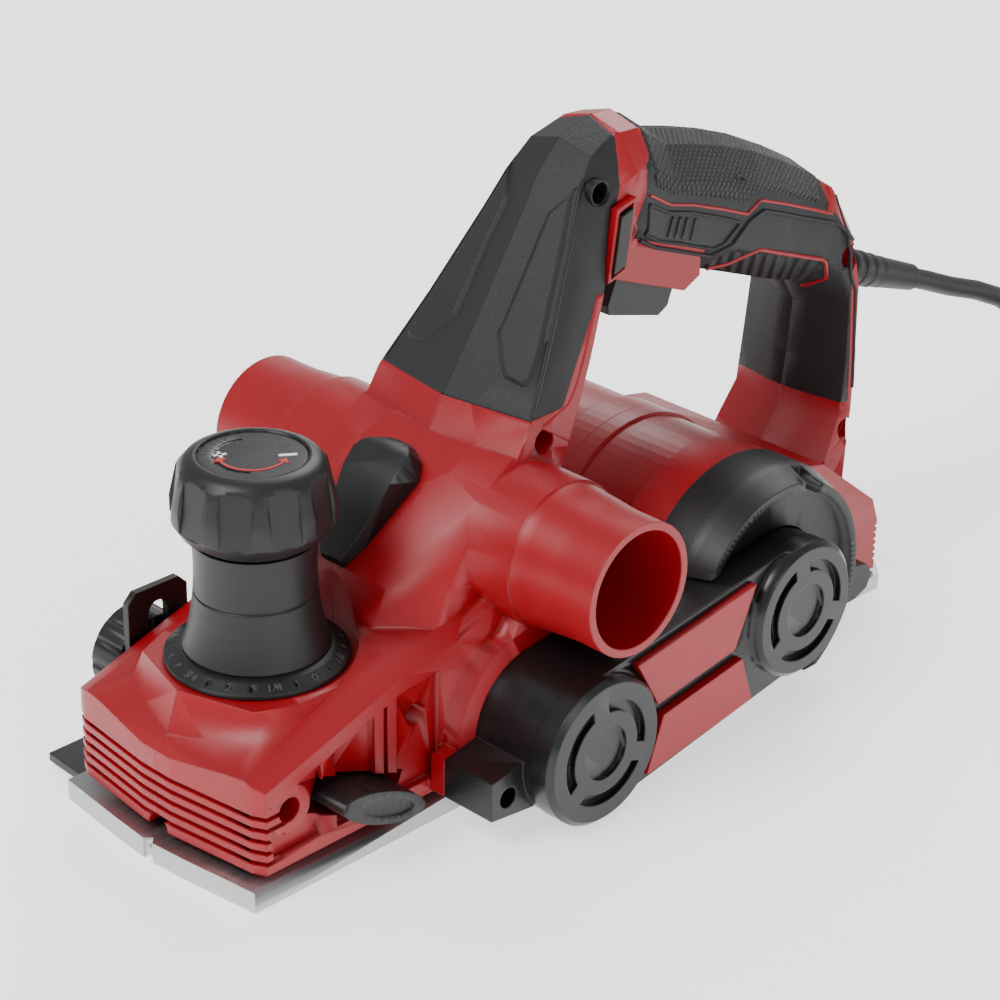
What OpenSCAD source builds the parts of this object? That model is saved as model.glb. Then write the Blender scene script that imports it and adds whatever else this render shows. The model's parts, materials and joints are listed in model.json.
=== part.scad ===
// Electric hand planer: an assembly of separate pieces, in millimetres.
// +X is the rear of the tool, -X the knob end, -Y the belt side, +Z up. The sole is at Z 0.

/* [Overall] */
// From the drum axis to the tip of the front shoe
front_l = 106; // [104:1:128]
// From the drum axis to the end of the rear shoe
rear_l = 178; // [172:1:214]
// Width of the sole
sole_w = 82; // [78:1:100]
// Height of the top of the handle
handle_h = 179.4; // [170:0.2:216]

/* [Shoes] */
// Thickness of the front shoe
front_shoe_t = 6.5; // [5:0.1:8]
// Thickness of the rear shoe
rear_shoe_t = 5; // [4:0.1:6]
// How far the front shoe rises for the deepest cut
cut_depth = 2; // [1:0.1:2.2]
// Gap between the front shoe at rest and the housing
shoe_gap = 2.7; // [2.6:0.1:4]

/* [Cutter] */
// Radius of the blade tips
cut_r = 24; // [20:0.5:24.5]
// Radius of the drum body
drum_r = 20.5; // [18:0.5:21]
// Radius of the drum shaft
drum_shaft_r = 6; // [5:0.1:7]
// Outer radius of a drum bearing
drum_brg_r = 13; // [11.5:0.5:14]
// Radius of the drum pulley
drum_pulley_r = 17; // [14:0.5:18]

/* [Motor] */
// From the drum axis back to the motor axis
motor_dx = 88; // [84:1:94]
// Height of the motor axis
motor_z = 37; // [36:0.5:40]
// Outer radius of the motor barrel
barrel_r = 40.3; // [39:0.1:42]
// Radius of the stator
stator_r = 27; // [24:0.5:32]
// Radius of the armature
armature_r = 16.5; // [14:0.5:18]
// Radius of the motor shaft
motor_shaft_r = 4; // [3:0.1:5]
// Radius of the motor pulley
motor_pulley_r = 13; // [10:0.5:14]

/* [Depth knob] */
// Radius of the knob cap
cap_r = 23.5; // [20:0.5:25]
// Radius of the scale ring
ring_r = 26.5; // [22:0.5:28]
// Height of the top of the knob
knob_top = 113; // [104:1:126]
// Radius of the depth screw
screw_r = 5; // [4:0.1:6]

/* [Handle] */
// Half width of the grip
grip_w = 17; // [15:0.5:19]
// Thickness of the soft covers
cover_t = 3; // [2.4:0.1:3.4]
// Wall of the housing
wall = 2.8; // [2.2:0.1:3.4]

/* [Dust ports] */
// Outer radius of a port's mouth
port_r = 20.25; // [19:0.25:22]
// Inner radius of a port
port_bore_r = 17.8; // [16:0.1:18]
// How far a port's mouth stands out from the sole's edge
port_out = 37.5; // [30:0.5:45]

/* [Cord] */
// Diameter of the cord
cord_d = 7; // [6:0.5:8]
// Length of the strain relief
relief_l = 58; // [40:1:60]

/* [Hidden] */
$fn = 64;
slack = 0.3;
fit = 0.05;
drum_x = (front_l - rear_l) / 2;
nose = -front_l;
hw = sole_w / 2;
side_y = hw + 5.5;
drum_z = cut_r;
chamber_r = cut_r + 2;
chamber_y = hw + 1;
base_z = front_shoe_t + shoe_gap;
body_y = hw - 1;
knob_x = nose + 42;
deck_z = 50;
port_x = 9;
port_z = 74;
port_y = hw + port_out;
port_depth = 40;
grip_dz = handle_h - 179.4;
cover_y = side_y + 30;
motor_left_y = hw - 85;
motor_right_y = hw + 19;
belt_y0 = -side_y - 20.5;
belt_y1 = -side_y - 12.5;
belt_t = 2;
slope_x = -34;
slope_z = 68;
slope_a = 42.9;
rest_x = rear_l - 47;
gauge_x = knob_x - 2;
gauge_y = hw + 0.4;
wrench_x = nose + 44.5;
wrench_z = 20.5;
wrench_tilt = 21;
trigger_a = 21;
relief_a = 21;
relief_z = 103;
blade_park = 50;
GROOVE_Z = [for (k = [0:4]) 12 + 3.6 * k];

// Route of the cord's centre line, from inside the strain relief to the coil
CORD = [
  [191, 0, 84.1], [205, 0, 78.5], [220, 0, 72], [236, 0, 66], [251, 0, 59], [264, 0, 50],
  [275, 0, 38], [284, 0, 26], [292, 0, 16], [299, 0, 10]
];
coil_c = [314, -45.5];
coil_r = [28, 49];
coil_h = 21;

// ---- shape helpers -------------------------------------------------------

// Everything is placed from the drum axis
module from_drum() { translate([drum_x, 0, 0]) children(); }

// An X-Z outline carried along Y from y0 to y1
module side_prism(points, y0, y1) {
  translate([0, y1, 0]) rotate([90, 0, 0]) linear_extrude(y1 - y0) polygon(points);
}

// An X-Y outline carried up from z0 to z1
module plan_prism(points, z0, z1) {
  translate([0, 0, z0]) linear_extrude(z1 - z0) polygon(points);
}

// A round bar along Y
module y_bar(r, y0, y1, x, z) {
  translate([x, y1, z]) rotate([90, 0, 0]) cylinder(h = y1 - y0, r = r);
}

// A conical bar along Y, radius ra at y0 and rb at y1
module y_cone(ra, rb, y0, y1, x, z) {
  translate([x, y1, z]) rotate([90, 0, 0]) cylinder(h = y1 - y0, r1 = rb, r2 = ra);
}

// A ring along Y
module y_ring(ro, ri, y0, y1, x, z) {
  difference() {
    y_bar(ro, y0, y1, x, z);
    y_bar(ri, y0 - 1, y1 + 1, x, z);
  }
}

// A box given by its two corners
module box(a, b) { translate(a) cube(b - a); }

// Both signs of Y
module both_sides() {
  children();
  mirror([0, 1, 0]) children();
}

// A skin through outlines that all have the same number of points, each running
// anticlockwise as seen from the outline after it
module loft(s) {
  n = len(s[0]);
  m = len(s);
  polyhedron(
    points = [for (o = s) each o],
    faces = concat(
      [[for (i = [0:n - 1]) i]],
      [[for (i = [n - 1:-1:0]) (m - 1) * n + i]],
      [for (j = [0:m - 2], i = [0:n - 1]) [j * n + i, (j + 1) * n + i, (j + 1) * n + (i + 1) % n]],
      [for (j = [0:m - 2], i = [0:n - 1])
        [j * n + i, (j + 1) * n + (i + 1) % n, j * n + (i + 1) % n]]
    )
  );
}

function unit(v) = v / norm(v);
function mix(a, b, t) = a + (b - a) * t;

// A round tube swept along points; its rings stay upright in the plane across the path
module sweep(path, r, sides) {
  last = len(path) - 1;
  loft([for (i = [0:last])
    let(t = unit(path[min(i + 1, last)] - path[max(i - 1, 0)]),
        s = unit(cross([0, 0.0001, 1], t)),
        u = cross(t, s))
    [for (k = [0:sides - 1]) path[i] + r * (cos(360 * k / sides) * s + sin(360 * k / sides) * u)]
  ]);
}

// ---- the handle's shared form ---------------------------------------------

// Cross-section styles: share of the depth, and share of the half width
POST = [[0, 0], [0.16, 0.97], [0.5, 1], [0.9, 0.98], [0.99, 0.86]];
GRIP = [[0, 0], [0.07, 0.62], [0.32, 1], [0.74, 0.97], [0.98, 0.6]];
REAR = [[0, 0], [0.03, 0.84], [0.22, 1], [0.66, 0.97], [0.94, 0.3]];
STYLES = [POST, GRIP, REAR, REAR];
function style(k) = let(i = floor(k)) [for (p = [0:4]) mix(STYLES[i][p], STYLES[i + 1][p], k - i)];

// Stations round the handle: outer x z, inner x z, half width, style
grip_front = [103, 167 + grip_dz];
grip_front_in = [91, 128.5 + grip_dz];
grip_rear = [rear_l - 17, 143 + grip_dz];
grip_rear_in = [rear_l - 34, 108.3 + grip_dz];
STATIONS = concat(
  [
    [-2, 90, 20, 72, 33, 0],
    [9, 108.8, 31, 94, 32, 0],
    [23.7, 130.2 + grip_dz / 2, 46.5, 115.5 + grip_dz / 2, 25.5, 0],
    [39.7, 155.4 + grip_dz, 59, 134 + grip_dz, 20, 0.25],
    [47, 167.4 + grip_dz, 63, 136 + grip_dz, 18.8, 0.6],
    [55, 175.6 + grip_dz, 67, 136.5 + grip_dz, 18, 0.85],
    [69, handle_h, 72, 136 + grip_dz, 18, 1],
    [77, handle_h - 0.4, 76, 135 + grip_dz, 17.8, 1],
    [90.5, 170 + grip_dz, 82, 132 + grip_dz, grip_w, 1]
  ],
  [for (t = [0:0.25:1])
    let(o = mix(grip_front, grip_rear, t), n = mix(grip_front_in, grip_rear_in, t))
    [o[0], o[1] + 2.6 * sin(180 * t), n[0], n[1], grip_w, 1]
  ],
  [
    [rear_l - 7, 135 + grip_dz, rear_l - 23, 104.5 + grip_dz, 18.5, 1.3],
    [rear_l - 1, 121 + grip_dz, rear_l - 14.5, 100.5 + grip_dz, 20, 1.6],
    [rear_l, 104 + grip_dz / 2, rear_l - 9, 92 + grip_dz / 2, 21, 2],
    [rear_l - 0.3, 80, rear_l - 10.8, 74, 22, 2],
    [rear_l - 0.6, 60, rear_l - 13.5, 55, 22.5, 2],
    [rear_l - 1.5, 46, rear_l - 24, 44, 24, 2],
    [rear_l - 4, 30, rear_l - 32, 28, 26, 2]
  ]
);

// One cross-section of the handle, drawn in by the given amount
function section(s, inset) =
  let(o = [s[0], s[1]], n = [s[2], s[3]], d = unit(n - o), e = min(inset, norm(n - o) / 2 - 1.2),
      a = o + d * e, b = n - d * e, w = s[4] - inset, f = style(s[5]),
      at = function (u, y) [mix(a[0], b[0], u), y * w, mix(a[1], b[1], u)])
  concat(
    [for (p = [0:4]) at(f[p][0], -f[p][1])],
    [at(1, 0)],
    [for (p = [4:-1:1]) at(f[p][0], f[p][1])]
  );

module handle_form(inset) { loft([for (s = STATIONS) section(s, inset)]); }

// ---- the housing ------------------------------------------------------------

LIP = [[nose + 6.5, 34.6], [-44, 52], [15, 60]];

// One cross-section of the front body at x, with its top edge at z
function front_section(x, z, y, lift) =
  [[x, y, base_z], [x, y, z], [x, y - 6, z + lift], [x, -y + 6, z + lift], [x, -y, z], [x, -y, base_z]];

module front_body() {
  intersection() {
    loft([
      front_section(nose + 3, 31.5, body_y, 1.5),
      front_section(nose + 6.5, LIP[0][1], body_y, 3),
      front_section(LIP[1][0], LIP[1][1], body_y, 3),
      front_section(LIP[2][0], LIP[2][1], body_y, 3)
    ]);
    plan_prism([
      [nose + 4, -6], [nose + 4, 6], [nose + 7.5, body_y - 4], [nose + 10, body_y + 1],
      [40, body_y + 1], [40, -body_y - 1], [nose + 10, -body_y - 1], [nose + 7.5, -body_y + 4]
    ], 0, 80);
  }
}

// One level of the knob's pedestal: nose at f, corner at c half width a, sides half width w
function pedestal_section(z, f, c, a, e, w) =
  [[f, 0, z], [c, -a, z], [e, -w, z], [knob_x + 36, -w - 1, z], [knob_x + 36, w + 1, z], [e, w, z], [c, a, z]];

module pedestal() {
  loft([
    pedestal_section(base_z + 22, nose + 6.5, nose + 14, 28, nose + 30, 32.5),
    pedestal_section(deck_z, nose + 12.6, nose + 20, 24, nose + 32, 29)
  ]);
  plan_prism([[nose + 14, -2.2], [nose + 17, 0], [nose + 14, 2.2]], deck_z - 1, deck_z + 0.3);
}

// One level of the hump: front edge f with half width a, corner at c, half width w
function hump_section(z, f, a, c, w, r) =
  [[f, -a, z], [c, -w, z], [r, -w, z], [r, w, z], [c, w, z], [f, a, z]];

module hump() {
  loft([
    hump_section(34, -44, 20, -34, 35, 30),
    hump_section(58, -38, 21, -27, 34, 30),
    hump_section(slope_z, slope_x, 21, -22, 33.5, 28),
    hump_section(94, -6, 18, -2, 31.5, 24),
    hump_section(99, 2, 17, 6, 31.2, 22)
  ]);
}

module ports() {
  y_bar(port_r, -port_y, port_y, port_x, port_z);
  both_sides() {
    y_cone(port_r, port_r + 1.6, -port_y + 12, -hw - 8, port_x, port_z);
    y_bar(port_r + 2.4, -hw - 8, 0, port_x, port_z);
  }
}

module drum_walls() {
  intersection() {
    y_bar(chamber_r + 3.2, -side_y, side_y, 0, drum_z);
    box([-60, -side_y, 1.5], [60, side_y, 76]);
  }
  side_prism([[-27, base_z], [27, base_z], [40, 58], [22, 76], [-26, 54]], -body_y, body_y);
  side_prism([[-14, 44], [9, 48], [14, 58], [-4, 58]], -side_y, side_y);
  y_bar(19, side_y, side_y + 10, 0, drum_z);
  y_bar(drum_brg_r + 3, -side_y - 5.5, -side_y, 0, drum_z);
}

module barrel() {
  intersection() {
    union() {
      y_bar(barrel_r - 1, motor_left_y, motor_right_y, motor_dx, motor_z);
      y_bar(barrel_r, motor_left_y, motor_left_y + 14, motor_dx, motor_z);
      y_bar(barrel_r, -6, 10, motor_dx, motor_z);
      y_bar(barrel_r, motor_right_y - 12, motor_right_y, motor_dx, motor_z);
    }
    box([motor_dx - 60, motor_left_y, 6], [motor_dx + 60, motor_right_y, 100]);
  }
}

module tail() {
  tail_y = hw - 3;
  side_prism([
    [14, 6], [rear_l - 5, 6], [rear_l - 5, 24], [rear_l - 8.3, 32.5], [rear_l - 36.4, 54.6],
    [rear_l - 52, 58], [30, 58], [14, 50]
  ], -tail_y, tail_y);
}

// Screw places on the left side: x, z, depth of the seat below the mid-plane
SCREWS = [
  [nose + 18, 27, 16], [-38, 36, 20], [18.5, 100.5, 12], [54.6, 163 + grip_dz, 6],
  [119, 148 + grip_dz, 6], [rear_l - 6, 112 + grip_dz, 9], [rear_l - 6, 52, 12]
];
seat_r = 3.8;

module screw_bosses() {
  for (s = SCREWS) y_bar(seat_r + 2.4, -hw + 2, hw - 3, s[0], s[1]);
}

module screw_holes() {
  for (s = SCREWS) {
    y_bar(seat_r, -60, -s[2], s[0], s[1]);
    y_bar(2, -s[2] - 1, 11, s[0], s[1]);
  }
}

// The side outline of the soft cover on the front post
module post_cover_zone() {
  side_prism([
    [0, 108.2], [28.4, 107.7], [51.1, 133 + grip_dz], [72, 134.5 + grip_dz], [70, 149 + grip_dz],
    [61.3, 158.9 + grip_dz], [63.2, 166 + grip_dz], [70.4, handle_h + 6], [20, handle_h + 6]
  ], -50, 50);
}

// The side outline of the soft cover on the grip
module grip_cover_zone() {
  rx = rear_l;
  difference() {
    side_prism([
      [82, 172 + grip_dz], [74.2, 166 + grip_dz], [74.6, 158 + grip_dz], [70.6, 150 + grip_dz],
      [72.4, 143.5 + grip_dz], [106.5, 130.6 + grip_dz], [107.4, 110 + grip_dz],
      [rx - 50, 98 + grip_dz], [rx - 24, 64], [rx - 5, 61.5], [rx - 5, 104 + grip_dz / 2],
      [rx - 7.5, 119 + grip_dz], [rx - 14, 131 + grip_dz], [rx - 15, 160 + grip_dz], [90, handle_h + 6]
    ], -40, 40);
    lower_pad_zone();
  }
}

module lower_pad_zone() {
  rx = rear_l;
  side_prism([
    [108, 122.4 + grip_dz], [118, 127 + grip_dz], [rx - 15, 113 + grip_dz], [rx - 17, 103 + grip_dz],
    [rx - 24, 96 + grip_dz], [rx - 38, 96 + grip_dz], [108, 108 + grip_dz]
  ], -40, 40);
}

// The block under the front of the grip that the trigger sits in
module trigger_block(inset) {
  side_prism([
    [62, 146 + grip_dz], [67 + inset, 131.4 + inset + grip_dz], [99 - inset, 118.8 + inset + grip_dz],
    [106 - inset, 122 + grip_dz], [106 - inset, 134 + grip_dz]
  ], -13 + inset, 13 - inset);
}

module housing_skin() {
  front_body();
  pedestal();
  hump();
  ports();
  drum_walls();
  barrel();
  tail();
  trigger_block(0);
  handle_form(cover_t);
  difference() {
    handle_form(0);
    post_cover_zone();
    grip_cover_zone();
    lower_pad_zone();
  }
}

module front_cavity() {
  side_prism([
    [nose + 8, base_z - 1], [nose + 8, 28], [nose + 14, 34], [-50, deck_z - 4],
    [-38, deck_z - 4], [-31, 40], [-31, base_z - 1]
  ], -body_y + 5.6, body_y - 5.6);
}

module housing_voids() {
  front_cavity();
  y_bar(chamber_r, -chamber_y, chamber_y, 0, drum_z);
  box([-26, -chamber_y, -1], [30, chamber_y, base_z]);
  box([-9, -26, 30], [18, 26, port_z]);
  y_bar(port_bore_r - 1, -port_y - 1, port_y + 1, port_x, port_z);
  both_sides() y_bar(port_bore_r, -port_y - 1, -port_y + port_depth, port_x, port_z);
  intersection() {
    y_bar(barrel_r - 4, motor_left_y - 1, motor_right_y - 3, motor_dx, motor_z);
    box([0, -80, 9], [200, 80, 100]);
  }
  side_prism([
    [motor_dx + 20, 9], [rear_l - 8, 9], [rear_l - 8, 24], [rear_l - 12, 31], [rear_l - 40, 50],
    [motor_dx + 20, 52]
  ], -hw + 7, hw - 7);
  handle_form(cover_t + wall);
  trigger_block(2.4);
}

module side_pockets() {
  both_sides() {
    difference() {
      side_prism([
        [nose + 12, base_z + 4], [nose + 11, 30.5], [-46, 46.5], [-31, 48], [-31, base_z + 5]
      ], -body_y - 1, -body_y + 2.4);
      side_prism([[nose + 29, 0], [nose + 36, 0], [nose + 34, 60], [nose + 31, 60]], -hw - 2, 0);
      side_prism([[-56, 0], [-52.5, 0], [-52.5, 60], [-56, 60]], -hw - 2, 0);
      side_prism([[-51, 0], [-47.5, 0], [-47.5, 60], [-51, 60]], -hw - 2, 0);
      y_bar(7.5, -hw - 2, 0, nose + 18, 27);
    }
  }
}

module nose_grooves() {
  for (z = GROOVE_Z) difference() {
    box([nose, -hw - 1, z], [nose + 16, hw + 1, z + 1.5]);
    plan_prism([
      [nose + 5.4, -6], [nose + 5.4, 6], [nose + 8.9, body_y - 5.2], [nose + 11, body_y - 1.3],
      [nose + 30, body_y - 1.3], [nose + 30, -body_y + 1.3], [nose + 11, -body_y + 1.3],
      [nose + 8.9, -body_y + 5.2]
    ], 0, 60);
  }
  for (z = [9:2.4:21]) box([rear_l - 6, -hw, z], [rear_l, hw, z + 1]);
}

module vents() {
  for (k = [0:4]) {
    a = 20 + 28 * k;
    translate([motor_dx, 0, motor_z]) rotate([0, -a, 0])
      box([barrel_r - 6, motor_right_y - 22, -2.4], [barrel_r + 2, motor_right_y - 14, 2.4]);
  }
}

module housing() {
  difference() {
    union() {
      difference() {
        housing_skin();
        housing_voids();
      }
      intersection() {
        screw_bosses();
        union() {
          front_body();
          hump();
          handle_form(cover_t);
          tail();
        }
      }
      // guide tube of the shoe's boss, and the seat of the depth bush
      translate([knob_x, 0, 30]) cylinder(h = deck_z - 30, r = 16);
      both_sides() translate([knob_x + 13, 20, 42]) cylinder(h = 4.4, r = 7);
      // roof of the chip duct
      difference() {
        y_ring(port_bore_r + 2.6, port_bore_r - 1, -30, 30, port_x, port_z);
        box([-40, -31, 30], [60, 31, port_z]);
      }
      // seats of the right bearings
      y_bar(motor_shaft_r + 8.5, motor_right_y - 10, motor_right_y - 1, motor_dx, motor_z);
      box([motor_dx - 34, motor_right_y - 6, motor_z - 4], [motor_dx + 34, motor_right_y - 2, motor_z + 4]);
      // lug for the cover's front screw
      side_prism([[-35, 11], [-18, 11], [-18, 25], [-35, 23]], -side_y, -body_y + 3);
      // walls of the blade wrench's bay
      intersection() {
        wrench_frame() box([-20, -body_y + 2.2, -8.6], [20, -body_y + 13.4, 8.6]);
        box([-90, -60, base_z], [0, 60, deck_z]);
      }
      // seat of the rest foot's pin
      y_bar(6.5, -hw + 1.5, -hw + 8, rest_x, 15);
      // seat of the gauge's clamp
      y_bar(7, body_y - 5.5, hw + 0.1, gauge_x, 31);
    }
    screw_holes();
    y_bar(chamber_r, -chamber_y, chamber_y, 0, drum_z);
    side_pockets();
    nose_grooves();
    vents();
    translate([knob_x, 0, deck_z]) cylinder(h = 40, r = ring_r + 2.5);
    translate([knob_x, 0, 36]) cylinder(h = 30, r = screw_r + 4 + fit);
    translate([knob_x, 0, -1]) cylinder(h = 37.5, r = screw_r + 6.5);
    y_bar(drum_brg_r + fit, -side_y - 6, -hw - 2.5, 0, drum_z);
    y_bar(drum_brg_r + fit, hw + 2.5, side_y + 7.5, 0, drum_z);
    y_bar(drum_shaft_r + 2, -side_y - 6, side_y + 7.5, 0, drum_z);
    y_bar(motor_shaft_r + 5.5 + fit, motor_right_y - 11, motor_right_y - 3.4, motor_dx, motor_z);
    y_bar(3.2 + fit, -60, -hw + 12, rest_x, 15);
    y_bar(3 + fit, body_y - 6, hw + 1, gauge_x, 31);
    // bay of the blade wrench
    wrench_frame() box([-17.4, -hw - 4, -6], [17.4, -body_y + 11, 6]);
    wrench_frame() box([-3.3, -body_y + 9, -3.3], [3.3, -12, 3.3]);
    // slot of the lock-off button
    side_prism([
      [57, 136.4 + grip_dz], [63, 138.4 + grip_dz], [66, 158.4 + grip_dz], [60, 156.4 + grip_dz]
    ], -30, 0);
    // mouth of the trigger's block
    trigger_frame() box([-14.5, -8.6, -14], [14.6, 8.6, 14]);
    // cord exit
    relief_frame() translate([0, 0, -22]) cylinder(h = 40, r = 6 + fit);
    // pivot of the chip selector
    lever_frame() translate([0, 0, -17]) cylinder(h = 19, r = 4.4);
    // notch in the nose for the shoe's hook
    translate([nose, 0, base_z]) rotate([0, 90, 0]) cylinder(h = 12, r = 4);
    // clearance for the belt cover and the end ring behind it
    y_bar(motor_shaft_r + 8, motor_left_y - 4, motor_left_y + 8, motor_dx, motor_z);
  }
}

module half(s) {
  intersection() {
    housing();
    if (s < 0) box([-200, -120, -5], [260, 0, 260]);
    else box([-200, 0, -5], [260, 120, 260]);
  }
}

module housing_left() { color("firebrick") from_drum() half(-1); }
module housing_right() { color("firebrick") from_drum() half(1); }

// ---- soft covers -------------------------------------------------------------

module cover_shell() {
  difference() {
    handle_form(0);
    handle_form(cover_t);
    trigger_block(0);
    screw_wells();
  }
}

module screw_wells() {
  for (s = SCREWS) y_bar(seat_r, -60, -s[2], s[0], s[1]);
}

module lock_window() {
  side_prism([
    [55.6, 135 + grip_dz], [64.4, 137 + grip_dz], [67.4, 160 + grip_dz], [58.6, 158 + grip_dz]
  ], -30, 0);
}

module post_cover(s) {
  intersection() {
    cover_shell();
    post_cover_zone();
    if (s < 0) box([-50, -60, 0], [200, -0.01, 250]);
    else box([-50, 0.01, 0], [200, 60, 250]);
  }
}

module post_cover_left() {
  color("#26272a") from_drum() difference() {
    post_cover(-1);
    lock_window();
  }
}

module post_cover_right() { color("#26272a") from_drum() post_cover(1); }

module grip_cover(s) {
  intersection() {
    cover_shell();
    grip_cover_zone();
    if (s < 0) box([-50, -60, 0], [260, -0.01, 250]);
    else box([-50, 0.01, 0], [260, 60, 250]);
  }
}

module grip_cover_left() { color("#232427") from_drum() grip_cover(-1); }
module grip_cover_right() { color("#232427") from_drum() grip_cover(1); }

module lower_grip_pad() {
  color("#232427") from_drum() intersection() {
    cover_shell();
    lower_pad_zone();
  }
}

// ---- shoes and depth adjustment ------------------------------------------------

module front_shoe() {
  color("silver") from_drum() {
    difference() {
      union() {
        intersection() {
          side_prism([
            [nose, 0], [nose, front_shoe_t], [-21, front_shoe_t], [-13.5, 0]
          ], -hw, hw);
          plan_prism([
            [nose, -2], [nose + 2.2, 0], [nose, 2], [nose + 1.2, 16], [nose + 4, hw],
            [0, hw], [0, -hw], [nose + 4, -hw], [nose + 1.2, -16]
          ], -1, 20);
        }
        translate([knob_x, 0, 0]) cylinder(h = 26, r = screw_r + 6);
        both_sides() translate([knob_x + 13, 20, 0]) cylinder(h = 24, r = 2.4);
      }
      translate([knob_x, 0, 8]) cylinder(h = 30, r = screw_r + fit);
      // groove for planing a bevel on an edge
      translate([nose - 1, 0, 0]) rotate([0, 90, 0])
        cylinder(h = front_l, r = 1.8, $fn = 4);
    }
  }
}

REAR_SCREWS = [[36, hw - 12], [36, -hw + 12], [rear_l - 18, hw - 12], [rear_l - 18, -hw + 12]];

module rear_shoe() {
  color("silver") from_drum() difference() {
    intersection() {
      side_prism([[13, 0], [19.5, rear_shoe_t], [rear_l, rear_shoe_t], [rear_l, 0]], -hw, hw);
      plan_prism([
        [0, -hw], [rear_l - 6, -hw], [rear_l, -hw + 6], [rear_l, hw - 6], [rear_l - 6, hw], [0, hw]
      ], -1, 20);
    }
    for (p = REAR_SCREWS) translate([p[0], p[1], 0]) {
      translate([0, 0, -1]) cylinder(h = 12, r = 2.6);
      translate([0, 0, -0.01]) cylinder(h = 2.8, r1 = 5.2, r2 = 2.4);
    }
  }
}

module rear_shoe_screws() {
  color("dimgray") from_drum() for (p = REAR_SCREWS) translate([p[0], p[1], 0]) difference() {
    union() {
      translate([0, 0, 0.3]) cylinder(h = 2.4, r1 = 4.8, r2 = 2.4);
      translate([0, 0, 2.6]) cylinder(h = 3.2, r = 2.4);
    }
    translate([0, 0, 0.2]) cylinder(h = 1.6, r = 1.9, $fn = 6);
  }
}

// A compression spring standing on the shoe
module spring(h, r, wire, turns) {
  sweep([for (i = [0:turns * 12]) [
    r * cos(30 * i), r * sin(30 * i), wire + (h - 2 * wire) * i / (turns * 12)
  ]], wire, 6);
}

spring_h = 41.6 - front_shoe_t;

module shoe_springs() {
  color("lightgray") from_drum() both_sides()
    translate([knob_x + 13, 20, front_shoe_t + 0.1]) spring(spring_h, 5, 0.8, 8);
}

module depth_screw() {
  color("goldenrod") from_drum() translate([knob_x, 0, 0]) {
    translate([0, 0, 12]) cylinder(h = knob_top - 26, r = screw_r);
    translate([0, 0, 29]) cylinder(h = 3, r = screw_r + 2.4);
    translate([0, 0, knob_top - 14]) cylinder(h = 6, r = screw_r + 3, $fn = 6);
  }
}

module depth_bush() {
  color("peru") from_drum() translate([knob_x, 0, 0]) difference() {
    translate([0, 0, 36.2]) cylinder(h = deck_z - 36.4, r = screw_r + 4);
    translate([0, 0, 30]) cylinder(h = 30, r = screw_r + fit);
  }
}

cap_z = knob_top - 18;

module knob_cap() {
  color("#202124") from_drum() translate([knob_x, 0, 0]) difference() {
    rotate_extrude() polygon([
      [0, cap_z - 6.5], [17.5, cap_z - 6.5], [21, cap_z - 4], [cap_r, cap_z], [cap_r, cap_z + 5],
      [cap_r - 2, cap_z + 14], [cap_r - 4.5, cap_z + 17], [cap_r - 7, knob_top],
      [15.5, knob_top], [15.5, knob_top - 1.6], [0, knob_top - 1.6]
    ]);
    translate([0, 0, knob_top - 14 - 20]) cylinder(h = 26 + fit, r = screw_r + 3 + fit);
    for (k = [0:9]) rotate([0, 0, 36 * k]) translate([cap_r + 1, 0, cap_z + 6])
      rotate([0, -8, 0]) box([-2.6, -4.6, -6.5], [4, 4.6, 12]);
  }
}

module knob_disc() {
  color("#1c1d20") from_drum() translate([knob_x, 0, knob_top - 1.5]) difference() {
    cylinder(h = 1, r = 15.2);
    for (a = [70:10:220]) rotate([0, 0, a]) box([10.2, -1, 0.7], [11.4, 1, 2]);
  }
}

neck_z0 = deck_z + 4.8;

module knob_neck() {
  color("#222326") from_drum() translate([knob_x, 0, 0]) rotate_extrude() difference() {
    polygon(concat(
      [[screw_r + fit, neck_z0]],
      [for (t = [0:0.1:1]) [
        17.2 + 4 * pow(1 - t, 3) + 0.6 * pow(t, 6), mix(neck_z0, cap_z - 7, t)
      ]],
      [[screw_r + fit, cap_z - 7]]
    ));
    translate([17.4, neck_z0 + 17]) square([2, 0.5]);
    translate([screw_r + fit - 1, cap_z - 30]) square([4, 40]);
  }
}

module scale_ring() {
  color("#1e1f22") from_drum() translate([knob_x, 0, deck_z + 0.3]) difference() {
    rotate_extrude() polygon([
      [screw_r + fit, 0], [ring_r, 0], [ring_r, 1.3], [21.4, 4.2], [screw_r + fit, 4.2]
    ]);
    for (k = [0:23]) rotate([0, 0, 15 * k])
      box([ring_r - 3, -0.25, 1], [ring_r - 1.2, 0.25, 4]);
  }
}

// ---- cutter -----------------------------------------------------------------------

module at_drum_axis() { translate([0, 0, drum_z]) children(); }

// The two blade places round the drum
module each_blade() {
  at_drum_axis() for (a = [blade_park, blade_park + 180]) rotate([0, a, 0]) children();
}

module cutter_drum() {
  color("slategray") from_drum() difference() {
    union() {
      y_bar(drum_r, -hw + 0.5, hw - 0.5, 0, drum_z);
      y_bar(drum_shaft_r + 3, -hw - 0.3, hw + 0.3, 0, drum_z);
      y_bar(drum_shaft_r, shaft_y0, side_y + 6, 0, drum_z);
    }
    each_blade() {
      box([-1, -hw - 1, drum_r - 11], [10.5, hw + 1, drum_r + 5]);
      box([10, -hw - 1, drum_r - 6], [20, hw + 1, drum_r + 5]);
    }
  }
}

module blades() {
  color("gainsboro") from_drum() each_blade()
    side_prism([
      [-0.9, cut_r - 9], [0.3, cut_r - 9], [0.3, cut_r - 0.6], [-0.9, cut_r - 0.1]
    ], -hw, hw);
}

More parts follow.
